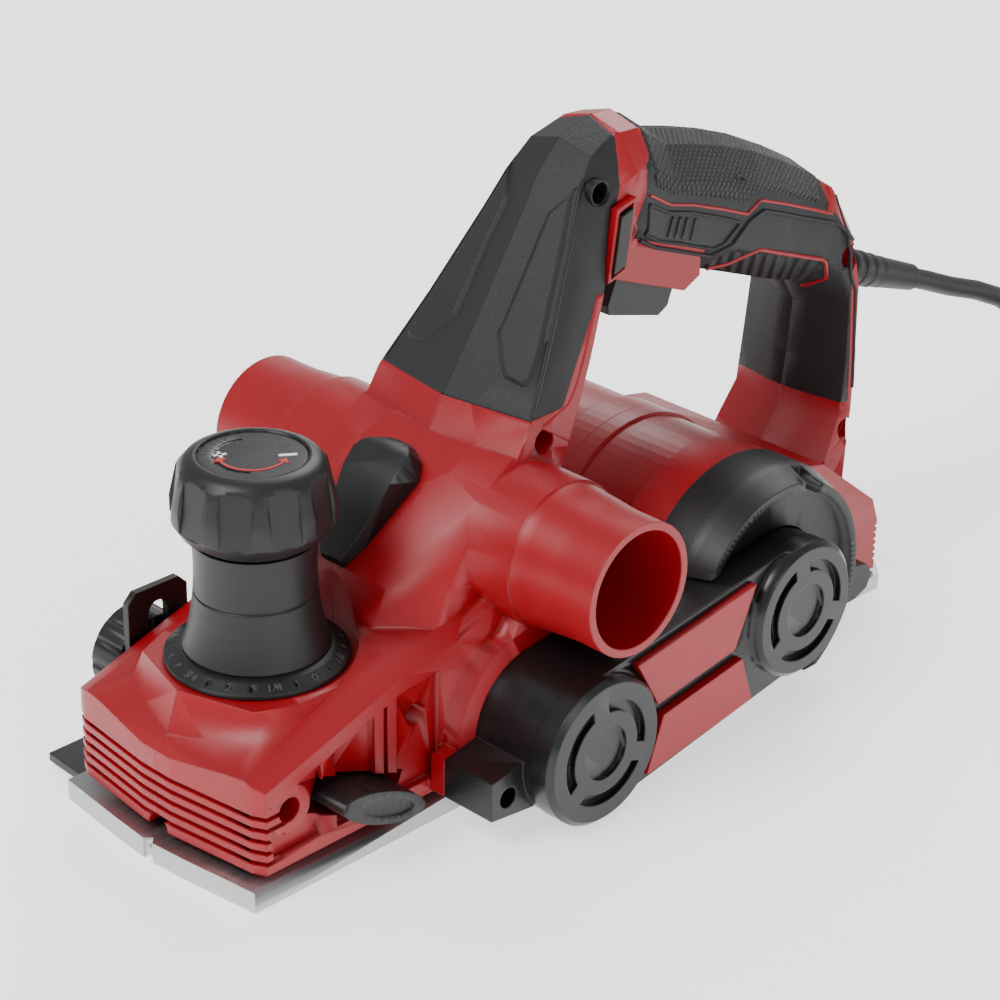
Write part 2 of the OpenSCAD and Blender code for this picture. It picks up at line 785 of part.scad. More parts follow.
module blade_clamps() {
  color("darkgray") from_drum() each_blade() difference() {
    side_prism([
      [0.4, drum_r - 10.8], [10.2, drum_r - 10.8], [10.2, drum_r - 6], [8.4, drum_r - 1.5],
      [0.4, drum_r + 0.4]
    ], -hw + 0.8, hw - 0.8);
    for (y = [-26, 0, 26]) translate([4.8, y, drum_r - 12]) cylinder(h = 20, r = 2.6 + fit);
  }
}

module clamp_screws() {
  color("dimgray") from_drum() each_blade() for (y = [-26, 0, 26])
    translate([4.8, y, drum_r - 10.9]) difference() {
      cylinder(h = 8.4, r = 2.6);
      translate([0, 0, 5.4]) cylinder(h = 4, r = 1.5, $fn = 6);
    }
}

module drum_bearings() {
  color("lightsteelblue") from_drum() {
    y_ring(drum_brg_r, drum_shaft_r + fit, -side_y - 5, -hw - 2.7, 0, drum_z);
    y_ring(drum_brg_r, drum_shaft_r + fit, hw + 2.7, side_y + 7, 0, drum_z);
  }
}

// A pulley along Y with thin flanges
module pulley(r, x, z, bore) {
  difference() {
    union() {
      y_bar(r, belt_y0 - 1, belt_y1 + 1, x, z);
      y_bar(r + 1.4, belt_y0 - 2.2, belt_y0 - 1, x, z);
      y_bar(r + 1.4, belt_y1 + 1, belt_y1 + 2.2, x, z);
    }
    y_bar(bore, belt_y0 - 5, belt_y1 + 5, x, z);
    for (a = [0:40:320]) translate([x, 0, z]) rotate([0, a, 0])
      box([-0.7, belt_y0, r - 0.8], [0.7, belt_y1, r + 1]);
  }
}

module drum_pulley() { color("gray") from_drum() pulley(drum_pulley_r, 0, drum_z, drum_shaft_r); }
module motor_pulley() {
  color("gray") from_drum() pulley(motor_pulley_r, motor_dx, motor_z, motor_shaft_r);
}

// The outline of a band drawn tight round two circles
module belt_outline(ra, rb) {
  d = [motor_dx, motor_z - drum_z];
  a = atan2(d[1], d[0]);
  b = acos((ra - rb) / norm(d));
  polygon(concat(
    [for (t = [0:1 / 24:1]) let(g = mix(a + b, a + 360 - b, t)) [ra * cos(g), drum_z + ra * sin(g)]],
    [for (t = [0:1 / 24:1]) let(g = mix(a - b, a + b, t)) [motor_dx + rb * cos(g), motor_z + rb * sin(g)]]
  ));
}

// That outline carried along Y
module belt_prism(ra, rb, y0, y1) {
  translate([0, y1, 0]) rotate([90, 0, 0]) linear_extrude(y1 - y0) belt_outline(ra, rb);
}

module drive_belt() {
  color("#303030") from_drum() difference() {
    belt_prism(
      drum_pulley_r + slack + belt_t, motor_pulley_r + slack + belt_t, belt_y0 + 0.4, belt_y1 - 0.4
    );
    belt_prism(drum_pulley_r + slack, motor_pulley_r + slack, belt_y0 - 1, belt_y1 + 1);
  }
}

// ---- motor ---------------------------------------------------------------------------

shaft_y0 = belt_y0 - 2.6;

module armature_shaft() {
  color("silver") from_drum() y_bar(motor_shaft_r, shaft_y0, motor_right_y - 3.8, motor_dx, motor_z);
}

module armature_core() {
  color("darkslategray") from_drum() difference() {
    y_bar(armature_r, motor_left_y + 20, motor_left_y + 66, motor_dx, motor_z);
    y_bar(motor_shaft_r, -100, 100, motor_dx, motor_z);
    for (a = [0:30:330]) translate([motor_dx, 0, motor_z]) rotate([0, a, 0])
      box([-1, motor_left_y + 18, armature_r - 4], [1, motor_left_y + 68, armature_r + 1]);
  }
}

module commutator() {
  color("peru") from_drum() difference() {
    y_bar(11.5, motor_left_y + 72, motor_left_y + 86, motor_dx, motor_z);
    y_bar(motor_shaft_r, -100, 100, motor_dx, motor_z);
    for (a = [0:30:330]) translate([motor_dx, 0, motor_z]) rotate([0, a, 0])
      box([-0.3, motor_left_y + 70, 10.6], [0.3, motor_left_y + 90, 12]);
  }
}

module motor_fan() {
  color("#35363a") from_drum() difference() {
    union() {
      y_bar(8, motor_left_y + 1, motor_left_y + 11, motor_dx, motor_z);
      y_bar(26, motor_left_y + 1, motor_left_y + 2.6, motor_dx, motor_z);
      for (a = [0:30:330]) translate([motor_dx, 0, motor_z]) rotate([0, a, 0])
        box([9, motor_left_y + 2, -0.8], [26, motor_left_y + 11, 0.8]);
      y_ring(26, 24.6, motor_left_y + 9.6, motor_left_y + 11, motor_dx, motor_z);
    }
    y_bar(motor_shaft_r, -100, 100, motor_dx, motor_z);
  }
}

module fan_baffle() {
  color("#3a3b40") from_drum() intersection() {
    y_ring(barrel_r - 4.3, 20, motor_left_y + 13, motor_left_y + 14.6, motor_dx, motor_z);
    box([0, -80, 9.3], [200, 80, 100]);
  }
}

module stator() {
  color("slategray") from_drum() difference() {
    union() {
      y_bar(stator_r, motor_left_y + 20, motor_left_y + 66, motor_dx, motor_z);
      for (a = [45:90:315]) translate([motor_dx, 0, motor_z]) rotate([0, a, 0])
        box([stator_r - 2, motor_left_y + 24, -4], [barrel_r - 5, motor_left_y + 62, 4]);
    }
    y_bar(armature_r + 1, -100, 100, motor_dx, motor_z);
  }
}

module motor_bearings() {
  color("lightsteelblue") from_drum() {
    y_ring(11, motor_shaft_r + fit, motor_left_y - 9, motor_left_y - 3, motor_dx, motor_z);
    y_ring(motor_shaft_r + 5.5, motor_shaft_r + fit, motor_right_y - 9.8, motor_right_y - 3.6,
      motor_dx, motor_z);
  }
}

brush_y = motor_left_y + 79;

module brush_holders() {
  color("darkgoldenrod") from_drum() for (s = [-1, 1]) difference() {
    box(
      [motor_dx + (s > 0 ? 13 : -34), brush_y - 5, motor_z - 6],
      [motor_dx + (s > 0 ? 34 : -13), brush_y + 5, motor_z + 6]
    );
    box(
      [motor_dx + (s > 0 ? 12 : -32), brush_y - 3.4, motor_z - 4.4],
      [motor_dx + (s > 0 ? 32 : -12), brush_y + 3.4, motor_z + 4.4]
    );
  }
}

module carbon_brushes() {
  color("#2b2b2e") from_drum() for (s = [-1, 1]) box(
    [motor_dx + (s > 0 ? 12.2 : -26), brush_y - 3.1, motor_z - 4.1],
    [motor_dx + (s > 0 ? 26 : -12.2), brush_y + 3.1, motor_z + 4.1]
  );
}

// The left end of the motor: a ring with a spoked plate that holds the bearing
module motor_end_ring() {
  y0 = motor_left_y - 22;
  color("#202124") from_drum() difference() {
    intersection() {
      union() {
        difference() {
          union() {
            y_cone(barrel_r - 3, barrel_r + 0.4, y0, motor_left_y - 12, motor_dx, motor_z);
            y_bar(barrel_r + 0.4, motor_left_y - 12, motor_left_y - 0.1, motor_dx, motor_z);
          }
          y_bar(barrel_r - 6, y0 - 1, motor_left_y + 1, motor_dx, motor_z);
        }
        y_bar(14, motor_left_y - 9.6, motor_left_y - 1, motor_dx, motor_z);
        y_bar(barrel_r - 5, y0 + 4, y0 + 6.5, motor_dx, motor_z);
        for (a = [20:60:320]) translate([motor_dx, 0, motor_z]) rotate([0, a, 0])
          box([10, motor_left_y - 7, -3], [barrel_r - 4, motor_left_y - 2, 3]);
      }
      box([0, y0 - 1, 6], [200, motor_left_y, 100]);
    }
    y_bar(11 + fit, motor_left_y - 10, motor_left_y - 2.6, motor_dx, motor_z);
    y_bar(motor_shaft_r + 2, motor_left_y - 30, motor_left_y + 1, motor_dx, motor_z);
    belt_prism(23.2, 22.1, y0 - 1, -side_y + slack);
    y_bar(seat_r, y0 - 1, y0 + 8, motor_dx + 13, motor_z + 35);
  }
}

module motor_end_cap() {
  y1 = motor_right_y;
  color("#202124") from_drum() intersection() {
    difference() {
      union() {
        y_bar(barrel_r - 2, y1 + 0.1, y1 + 4, motor_dx, motor_z);
        y_cone(barrel_r - 2, barrel_r - 8, y1 + 4, y1 + 9, motor_dx, motor_z);
      }
      y_bar(barrel_r - 10, y1 - 1, y1 + 6, motor_dx, motor_z);
      for (k = [-3:3]) box(
        [motor_dx - 22, y1 + 5, motor_z + 7 * k - 1.4], [motor_dx + 22, y1 + 12, motor_z + 7 * k + 1.4]
      );
    }
    box([0, 0, 6], [200, 200, 100]);
  }
}

// ---- belt cover ----------------------------------------------------------------------------

boss_a = 22.9;
boss_b = 21.6;

module boss_face(r, x, z) {
  y_cone(r - 1.6, r, -cover_y, -cover_y + 1.6, x, z);
  y_bar(r, -cover_y + 1.6, -cover_y + 8, x, z);
}

module belt_cover() {
  color("#1f2023") from_drum() difference() {
    union() {
      belt_prism(boss_a, boss_b, -cover_y + 4, -side_y);
      boss_face(boss_a + slack, 0, drum_z);
      boss_face(boss_b + slack, motor_dx, motor_z);
      side_prism([[-35, 11], [-18, 9], [-12, 26], [-20, 26], [-35, 23.4]], -side_y - 19, -side_y);
    }
    belt_prism(boss_a - 2.4, boss_b - 2.4, -cover_y + 6.5, -side_y + 1);
    for (c = [[0, drum_z], [motor_dx, motor_z]]) {
      difference() {
        y_ring(16.5, 13, -cover_y - 1, -cover_y + 2.2, c[0], c[1]);
        for (a = [20, 140, 260]) translate([c[0], 0, c[1]]) rotate([0, a, 0])
          box([8, -cover_y - 2, -3], [20, -cover_y + 3, 3]);
      }
      y_bar(8.5, -cover_y - 1, -cover_y + 1.4, c[0], c[1]);
    }
    y_bar(3.2, -side_y - 21, -side_y + 1, -28.5, 16.5);
    panel(0.3, 0, true);
    panel(0.3, 0, false);
  }
}

// A coloured panel let into the web of the cover
module panel(grow, lift, upper) {
  a = atan2(motor_z - drum_z, motor_dx);
  s = upper ? 1 : -1;
  translate([motor_dx / 2, 0, (motor_z + drum_z) / 2]) rotate([0, -a, 0])
    side_prism(upper
      ? [[-27 - grow, 19.5], [-20 - grow, 2 - grow], [14 + grow, 2 - grow], [25 + grow, 19.5]]
      : [[-18 - grow, -3 + grow], [-27 - grow, -19.5], [20 + grow, -19.5], [17 + grow, -3 + grow]],
      -cover_y + 2.4 - lift, -cover_y + 5.4);
}

module cover_panel_upper() { color("firebrick") from_drum() panel(0, 0.6, true); }
module cover_panel_lower() { color("firebrick") from_drum() panel(0, 0.6, false); }

module cover_screws() {
  color("dimgray") from_drum() translate([-28.5, 0, 16.5]) difference() {
    union() {
      y_bar(3, -side_y - 8, -side_y - 5, 0, 0);
      y_bar(1.9, -side_y - 6, -side_y, 0, 0);
    }
    y_bar(1.2, -side_y - 9, -side_y - 6.5, 0, 0);
  }
}

module housing_screws() {
  color("dimgray") from_drum() for (s = SCREWS) difference() {
    union() {
      y_bar(3.5, -s[2] - 2.4, -s[2] - 0.05, s[0], s[1]);
      y_bar(1.9, -s[2] - 0.5, 10, s[0], s[1]);
    }
    y_bar(1.4, -s[2] - 3, -s[2] - 1, s[0], s[1]);
  }
}

// ---- switch and trigger ------------------------------------------------------------------------

trigger_travel = 5;

module trigger_frame() { translate([86.4, 0, 123.6 + grip_dz]) rotate([0, trigger_a, 0]) children(); }

module trigger() {
  color("#1c1d20") from_drum() trigger_frame() {
    side_prism([
      [-13.5, 5], [-14, -9], [-12.5, -11.5], [11, -9.5], [14, -6], [14, 5]
    ], -8, 8);
  }
}

module switch_module() {
  color("#2c2d33") from_drum() trigger_frame() box([-11, -7.4, 11.5], [13, 7.4, 25]);
}

module lock_button() {
  color("#17181a") from_drum() side_prism([
    [57.6, 138 + grip_dz], [62.4, 139.6 + grip_dz], [65, 156.8 + grip_dz], [60.2, 155.4 + grip_dz]
  ], -21.4, -9);
}

module lock_bezel() {
  color("firebrick") from_drum() difference() {
    side_prism([
      [55.9, 135.3 + grip_dz], [64.1, 137.3 + grip_dz],
      [67.1, 159.6 + grip_dz], [58.9, 157.7 + grip_dz]
    ], -20.6, -18);
    side_prism([
      [57, 136.4 + grip_dz], [63, 138.4 + grip_dz], [66, 158.4 + grip_dz], [60, 156.4 + grip_dz]
    ], -30, 0);
  }
}

// ---- chip selector ---------------------------------------------------------------------------------

lever_u = 28;

// A frame on the slope: +X up the slope, +Z out of it, origin at the lever's pivot
module lever_frame() {
  translate([slope_x, 0, slope_z]) rotate([0, -slope_a, 0]) translate([lever_u, 0, 0]) children();
}

module selector_lever() {
  color("#1d1e21") from_drum() lever_frame() {
    intersection() {
      plan_prism([
        [-28, -4], [-20, -7], [4, -10.5], [9, -8], [12, -3], [12, 3], [9, 8], [4, 10.5], [-20, 7], [-28, 4]
      ], 0.4, 12);
      side_prism([[-29, 0.4], [-27, 4.5], [-2, 9.6], [7, 9], [13, 3.5], [13, 0.4]], -12, 12);
    }
    translate([0, 0, -16]) cylinder(h = 17, r = 4.4 - fit);
  }
}

module chip_deflector() {
  color("#2f3034") from_drum() lever_frame() {
    translate([0, 0, -30]) cylinder(h = 14, r = 4);
    box([-9, -1.2, -34], [9, 1.2, -20]);
  }
}

// ---- small moving pieces ---------------------------------------------------------------------------

module rest_foot() {
  color("#1e1f22") from_drum() difference() {
    union() {
      y_bar(6.5, -hw - 8, -hw + 1.2, rest_x, 15);
      side_prism([
        [rest_x - 4, 7], [rest_x + 18, 7.2], [rest_x + 24, 9.5], [rest_x + 26, 14], [rest_x + 23, 18.5],
        [rest_x, 23.4]
      ], -hw - 8, -hw - 1);
    }
    y_bar(3.2 + fit, -hw - 9, -hw + 2, rest_x, 15);
  }
}

module rest_foot_pin() {
  color("silver") from_drum() {
    y_bar(3.2, -hw - 8.6, -hw + 9, rest_x, 15);
    y_bar(5, -hw - 10, -hw - 8.6, rest_x, 15);
  }
}

module depth_gauge() {
  color("#2a2b2e") from_drum() difference() {
    union() {
      side_prism([
        [gauge_x - 11, 8], [gauge_x + 11, 8], [gauge_x + 11, 54], [gauge_x + 8, 57],
        [gauge_x - 8, 57], [gauge_x - 11, 54]
      ], gauge_y, gauge_y + 2.4);
      box([gauge_x - 11, gauge_y, 1], [gauge_x + 11, gauge_y + 2.4, 9]);
      plan_prism([
        [gauge_x - 29, gauge_y + 2], [gauge_x - 11, gauge_y], [gauge_x + 11, gauge_y],
        [gauge_x + 11, gauge_y + 19], [gauge_x - 28, gauge_y + 19]
      ], 1, 3.6);
    }
    translate([gauge_x, 0, 0]) {
      box([-3.6, gauge_y - 1, 15.6], [3.6, gauge_y + 4, 48.4]);
      y_bar(3.6, gauge_y - 1, gauge_y + 4, 0, 15.6);
      y_bar(3.6, gauge_y - 1, gauge_y + 4, 0, 48.4);
    }
  }
}

module gauge_knob() {
  color("#1c1d20") from_drum() difference() {
    union() {
      y_bar(14.4, gauge_y + 2.9, gauge_y + 14, gauge_x, 31);
      y_cone(14.4, 12, gauge_y + 14, gauge_y + 16, gauge_x, 31);
      y_bar(3, gauge_y - 5.5, gauge_y + 3, gauge_x, 31);
    }
    for (k = [0:11]) translate([gauge_x, 0, 31]) rotate([0, 30 * k, 0])
      y_bar(1.9, gauge_y + 2, gauge_y + 17, 15.6, 0);
    y_bar(8, gauge_y + 14.6, gauge_y + 17, gauge_x, 31);
  }
}

module wrench_frame() {
  translate([wrench_x, 0, wrench_z]) rotate([0, wrench_tilt, 0]) children();
}

module wrench_handle() {
  lens = [for (a = [0:15:345]) [16.6 * cos(a), 5.1 * sin(a)]];
  inner = [for (a = [0:15:345]) [10.5 * cos(a) + 1.5, 2.8 * sin(a)]];
  color("#202124") from_drum() wrench_frame() difference() {
    side_prism(lens, -hw - 9, -body_y + 9);
    side_prism(inner, -hw - 10, -hw - 8.2);
    for (k = [-3:4]) box([2.6 * k, -hw - 7.5, 3.9], [2.6 * k + 0.9, -hw - 1, 8]);
    box([-3.1, -body_y + 2, -3.1], [3.1, -body_y + 10, 3.1]);
  }
}

module wrench_shank() {
  color("silver") from_drum() wrench_frame() intersection() {
    box([-3, -body_y + 2.2, -3], [3, -13, 3]);
    y_bar(3.4, -60, 0, 0, 0);
  }
}

// ---- cord -----------------------------------------------------------------------------------------------

module relief_frame() {
  translate([rear_l - 0.3, 0, relief_z]) rotate([0, 90 + relief_a, 0]) children();
}

module strain_relief() {
  color("#1b1c1e") from_drum() relief_frame() difference() {
    union() {
      translate([0, 0, -5.5]) cylinder(h = 10.5, r = 6);
      translate([0, 0, 3.6]) cylinder(h = 2.8, r = 7.6);
      translate([0, 0, 4]) cylinder(h = relief_l - 4, r1 = 6.6, r2 = cord_d / 2 + 1.1);
      for (k = [0:6]) translate([0, 0, 12 + 6 * k]) cylinder(h = 2.6, r = 6.9 - 0.36 * k);
    }
    translate([0, 0, -10]) cylinder(h = relief_l + 12, r = cord_d / 2 + 0.1);
  }
}

// Points between two route points on a smooth curve through four of them
function smooth(p, i, t) =
  let(n = len(p) - 1, a = p[max(i - 1, 0)], b = p[i], c = p[i + 1], d = p[min(i + 2, n)])
  0.5 * (2 * b + (c - a) * t + (2 * a - 5 * b + 4 * c - d) * t * t + (3 * b - a - 3 * c + d) * t * t * t);

module cord_tube() {
  path = concat([for (i = [0:len(CORD) - 2], t = [0, 0.5]) smooth(CORD, i, t)], [CORD[len(CORD) - 1]]);
  color("#18191b") translate([rear_l + drum_x - 142, 0, 0]) sweep(path, cord_d / 2, 10);
}

module cord_coil() {
  color("#18191b") translate([coil_c[0] + rear_l + drum_x - 142, coil_c[1], 0]) rotate_extrude()
    polygon([
      [coil_r[0], 2], [coil_r[0] + 2, 0], [coil_r[1] - 2, 0], [coil_r[1], 2],
      [coil_r[1], coil_h - 2], [coil_r[1] - 2, coil_h], [coil_r[0] + 2, coil_h], [coil_r[0], coil_h - 2]
    ]);
}

module plug_frame() {
  translate([rear_l + drum_x - 142 + coil_c[0] - 38, coil_c[1] - 31.5, coil_h + 11]) children();
}

module plug_body() {
  color("#1a1b1d") plug_frame() difference() {
    union() {
      plan_prism([
        [-18, -13], [-15, -16], [4, -16], [14, -8], [22, -6], [22, 6], [14, 8], [4, 16], [-15, 16], [-18, 13]
      ], -10.7, 10);
      translate([18, 0, 0]) rotate([0, 90, 0]) cylinder(h = 16, r1 = 6.5, r2 = 5);
    }
    translate([10, 0, 0]) rotate([0, 90, 0]) cylinder(h = 30, r = cord_d / 2 + 0.1);
  }
}

module plug_pins() {
  color("lightgray") plug_frame() both_sides() box([-35.5, 5.6, -3.2], [-18, 7.1, 3.2]);
}

housing_left();
housing_right();
post_cover_left();
post_cover_right();
grip_cover_left();
grip_cover_right();
lower_grip_pad();
front_shoe();
rear_shoe();
rear_shoe_screws();
shoe_springs();
depth_screw();
depth_bush();
knob_cap();
knob_neck();
scale_ring();
knob_disc();
cutter_drum();
blades();
blade_clamps();
clamp_screws();
drum_bearings();
drum_pulley();
drive_belt();
motor_pulley();
armature_shaft();
armature_core();
commutator();
motor_fan();
stator();
motor_bearings();
brush_holders();
carbon_brushes();
fan_baffle();
belt_cover();
cover_panel_upper();
cover_panel_lower();
cover_screws();
motor_end_ring();
motor_end_cap();
housing_screws();
switch_module();
trigger();
lock_button();
lock_bezel();
selector_lever();
chip_deflector();
rest_foot();
rest_foot_pin();
depth_gauge();
gauge_knob();
wrench_handle();
wrench_shank();
strain_relief();
cord_tube();
cord_coil();
plug_body();
plug_pins();
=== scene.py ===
import json
import math

import bmesh
import bpy
import numpy as np
from mathutils import Matrix, Vector


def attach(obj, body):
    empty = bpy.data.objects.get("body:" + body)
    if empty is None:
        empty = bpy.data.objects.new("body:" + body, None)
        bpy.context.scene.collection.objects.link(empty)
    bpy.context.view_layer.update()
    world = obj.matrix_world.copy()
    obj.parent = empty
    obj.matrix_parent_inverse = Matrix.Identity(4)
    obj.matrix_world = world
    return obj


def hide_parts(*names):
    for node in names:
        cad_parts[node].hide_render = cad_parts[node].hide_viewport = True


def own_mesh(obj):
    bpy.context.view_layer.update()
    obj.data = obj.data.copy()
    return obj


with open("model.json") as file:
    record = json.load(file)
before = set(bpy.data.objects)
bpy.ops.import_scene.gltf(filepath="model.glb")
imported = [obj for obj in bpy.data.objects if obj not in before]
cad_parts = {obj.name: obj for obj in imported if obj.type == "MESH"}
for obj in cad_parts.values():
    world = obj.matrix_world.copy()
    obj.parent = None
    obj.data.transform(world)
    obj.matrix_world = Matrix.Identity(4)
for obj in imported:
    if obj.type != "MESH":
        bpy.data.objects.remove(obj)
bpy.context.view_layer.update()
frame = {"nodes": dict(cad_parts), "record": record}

bl_info = {
    "name": "Hand planer finish",
    "version": (1, 0, 0),
    "blender": (4, 5, 0),
    "location": "View3D > Sidebar > Planer",
    "description": "Finished surfaces, cord, markings and studio for an electric hand planer",
    "category": "Object",
}

MM = 0.001
BODY_OF = {n: b for b, ns in frame["record"]["behaviour"]["bodies"].items() for n in ns}
SLOT_OF = {s["node"]: s["material_slot"] for s in frame["record"]["subparts"]}
KNOB_AXIS = (-0.1, 0.0)


# ---- sizes and colours a user would change ------------------------------------

class PlanerSizes(bpy.types.PropertyGroup):
    """Sizes of the added pieces."""
    cord_length: bpy.props.FloatProperty(
        name="Cord length", description="Whole length of the lead", default=2.4, unit="LENGTH")
    cord_width: bpy.props.FloatProperty(
        name="Cord width", description="Diameter of the lead", default=0.007, unit="LENGTH")
    edge_round: bpy.props.FloatProperty(
        name="Edge rounding", description="Radius over which moulded edges catch light",
        default=0.0007, unit="LENGTH")
    relief_height: bpy.props.FloatProperty(
        name="Relief", description="Height of the ribs moulded on the covers", default=0.0007, unit="LENGTH")


class PlanerColours(bpy.types.PropertyGroup):
    """Colours of the finishes."""
    body_red: bpy.props.FloatVectorProperty(
        name="Body red", description="Moulded housing", subtype="COLOR", default=(0.30, 0.0022, 0.0075))
    soft_black: bpy.props.FloatVectorProperty(
        name="Soft black", description="Grained covers", subtype="COLOR", default=(0.0125, 0.013, 0.0145))
    hard_black: bpy.props.FloatVectorProperty(
        name="Hard black", description="Knob, lever and belt cover", subtype="COLOR",
        default=(0.0065, 0.0068, 0.0075))
    floor_white: bpy.props.FloatVectorProperty(
        name="Floor", description="Studio floor", subtype="COLOR", default=(0.93, 0.93, 0.93))


def sizes():
    return bpy.context.scene.planer_sizes


def colours():
    return bpy.context.scene.planer_colours


# ---- materials ---------------------------------------------------------------

class Wire:
    """A shader socket whose operators add Math nodes."""

    def __init__(self, recipe, socket):
        self.recipe, self.socket = recipe, socket

    def _math(self, operation, a, b=None):
        values = {0: a} if b is None else {0: a, 1: b}
        return self.recipe.node("ShaderNodeMath", {"operation": operation}, values)[0]

    def __add__(self, other): return self._math("ADD", self, other)
    def __radd__(self, other): return self._math("ADD", other, self)
    def __sub__(self, other): return self._math("SUBTRACT", self, other)
    def __rsub__(self, other): return self._math("SUBTRACT", other, self)
    def __mul__(self, other): return self._math("MULTIPLY", self, other)
    def least(self, other): return self._math("MINIMUM", self, other)
    def wave(self): return self._math("SINE", self)
    def size(self): return self._math("ABSOLUTE", self)


class Recipe:
    """One procedural material on a Principled surface."""

    def __init__(self, name, **constants):
        self.material = bpy.data.materials.new(name)
        self.material.use_nodes = True
        self.tree = self.material.node_tree
        self.surface = self.tree.nodes["Principled BSDF"]
        for socket, value in constants.items():
            self.surface.inputs[socket.replace("_", " ")].default_value = value

    def node(self, kind, settings=None, values=None):
        """Adds a node: its settings first, then its sockets' values or links. Returns its outputs."""
        made = self.tree.nodes.new(kind)
        for key, value in (settings or {}).items():
            if key == "stops":
                ramp = made.color_ramp.elements
                for k, (place, shade) in enumerate(value):
                    stop = ramp[k] if k < 2 else ramp.new(place)
                    stop.position, stop.color = place, (shade, shade, shade, 1.0)
            else:
                setattr(made, key, value)
        for socket, value in (values or {}).items():
            if isinstance(value, Wire):
                self.tree.links.new(value.socket, made.inputs[socket])
            else:
                made.inputs[socket].default_value = value
        return [Wire(self, o) for o in made.outputs]

    def place(self, source="Object", scale=(1, 1, 1), turn=(0, 0, 0)):
        """Object or UV coordinates, stretched and turned."""
        coords = self.node("ShaderNodeTexCoord")
        names = [o.socket.name for o in coords]
        return self.node("ShaderNodeMapping", None,
                         {"Vector": coords[names.index(source)], "Scale": scale, "Rotation": turn})[0]

    def noise(self, scale, detail=3.0, where=None, rough=0.5):
        return self.node("ShaderNodeTexNoise", None, {
            "Vector": where or self.place(), "Scale": scale, "Detail": detail, "Roughness": rough})[0]

    def grain(self, scale):
        return self.node("ShaderNodeTexVoronoi", {"feature": "SMOOTH_F1"}, {
            "Vector": self.place(), "Scale": scale, "Smoothness": 0.6})[0]

    def tint(self, colour, low, high, mask):
        """The colour times a factor that runs from low to high with the mask."""
        a = tuple(min(1, c * low) for c in colour) + (1.0,)
        b = tuple(min(1, c * high) for c in colour) + (1.0,)
        mix = self.node("ShaderNodeMix", {"data_type": "RGBA"}, {0: mask, 6: a, 7: b})
        self.feed("Base Color", mix[2])

    def feed(self, socket, wire):
        self.tree.links.new(wire.socket, self.surface.inputs[socket])

    def relief(self, height, distance, strength=1.0, rounding=0.0):
        """A bump on rounded edges."""
        values = {"Height": height, "Distance": distance, "Strength": strength}
        if rounding:
            values["Normal"] = self.node("ShaderNodeBevel", {"samples": 4}, {"Radius": rounding})[0]
        self.feed("Normal", self.node("ShaderNodeBump", None, values)[0])


FINISH = {}


def moulded(name, colour, rough, grain_scale, grain_depth, spread=0.12, coat=0.0):
    """Moulded plastic: fine grain from noise, faint cloudy colour, worn patches in the gloss."""
    r = Recipe(name, Coat_Weight=coat, Coat_Roughness=0.25, Specular_IOR_Level=0.45)
    cloud = r.noise(38.0, 4.0)
    r.tint(colour, 1 - spread, 1 + spread, cloud)
    rub = r.noise(210.0, 5.0, rough=0.65)
    r.feed("Roughness", rough - 0.06 + rub * 0.12 + cloud * 0.03)
    r.relief(r.noise(grain_scale, 2.0, rough=0.7), grain_depth, 0.5, sizes().edge_round)
    FINISH[name] = r.material


def grained(name, colour, rough, depth):
    """Soft moulding with a fine leather grain: rounded cells over a finer noise."""
    r = Recipe(name, Specular_IOR_Level=0.4)
    cells = r.grain(1150.0)
    fine = r.noise(2600.0, 2.0)
    cloud = r.noise(30.0, 4.0)
    r.tint(colour, 0.82, 1.2, cloud * 0.7 + cells * 0.3)
    r.feed("Roughness", rough - 0.05 + cells * 0.1 + cloud * 0.05)
    r.relief(cells + fine * 0.35, depth, 0.6, sizes().edge_round)
    FINISH[name] = r.material


def brushed(name, colour, rough, stretch):
    """Metal with long fine scratches one way and a few deeper ones."""
    r = Recipe(name)
    fine = r.noise(1.0, 3.0, r.place(scale=stretch), 0.7)
    deep = r.noise(0.35, 2.0, r.place(scale=stretch))
    cloud = r.noise(25.0, 3.0)
    r.surface.inputs["Metallic"].default_value = 1.0
    r.tint(colour, 0.78, 1.12, fine * 0.7 + cloud * 0.3)
    r.feed("Roughness", rough - 0.1 + fine * 0.18 + cloud * 0.06)
    r.relief(fine + deep, 0.00004, 0.5, 0.0004)
    FINISH[name] = r.material


def knurled(name, colour):
    """Diamond knurl in the piece's own UV millimetres: the lower of two crossed wave trains. Painted shade
    in its colour: darker in the valleys, lighter on the peaks.
    """
    r = Recipe(name, Specular_IOR_Level=0.4)
    one = r.node("ShaderNodeSeparateXYZ", None, {0: r.place("UV")})
    u, v = one[0], one[1]
    a = ((u + v) * 1.35).wave().size()
    b = ((u - v) * 1.35).wave().size()
    peak_and_shade = a.least(b)
    # painted shade: the colour is darker in the knurl's valleys and lighter on its peaks, following the
    # relief's height
    r.tint(colour, 0.6, 1.5, peak_and_shade)
    r.feed("Roughness", 0.56 - peak_and_shade * 0.12 + r.noise(300.0) * 0.06)
    r.relief(peak_and_shade + r.noise(2600.0) * 0.06, 0.0007, 1.0)
    FINISH[name] = r.material


def ribbed(name, colour):
    """Soft pad with ribs across it: one wave train over the object's length. Painted shade in its colour:
    darker between the ribs, lighter on their crests.
    """
    r = Recipe(name, Specular_IOR_Level=0.4)
    xyz = r.node("ShaderNodeSeparateXYZ", None, {0: r.place(turn=(0, 0.35, 0))})
    ribs = (xyz[0] * 1500.0).wave()
    # painted shade: the colour is darker between the ribs and lighter on their crests, following the
    # relief's height
    r.tint(colour, 0.65, 1.35, ribs * 0.5 + 0.5)
    r.feed("Roughness", 0.58 + r.noise(300.0) * 0.08)
    r.relief(ribs + r.noise(2600.0) * 0.1, 0.0004, 0.9, 0.0006)
    FINISH[name] = r.material


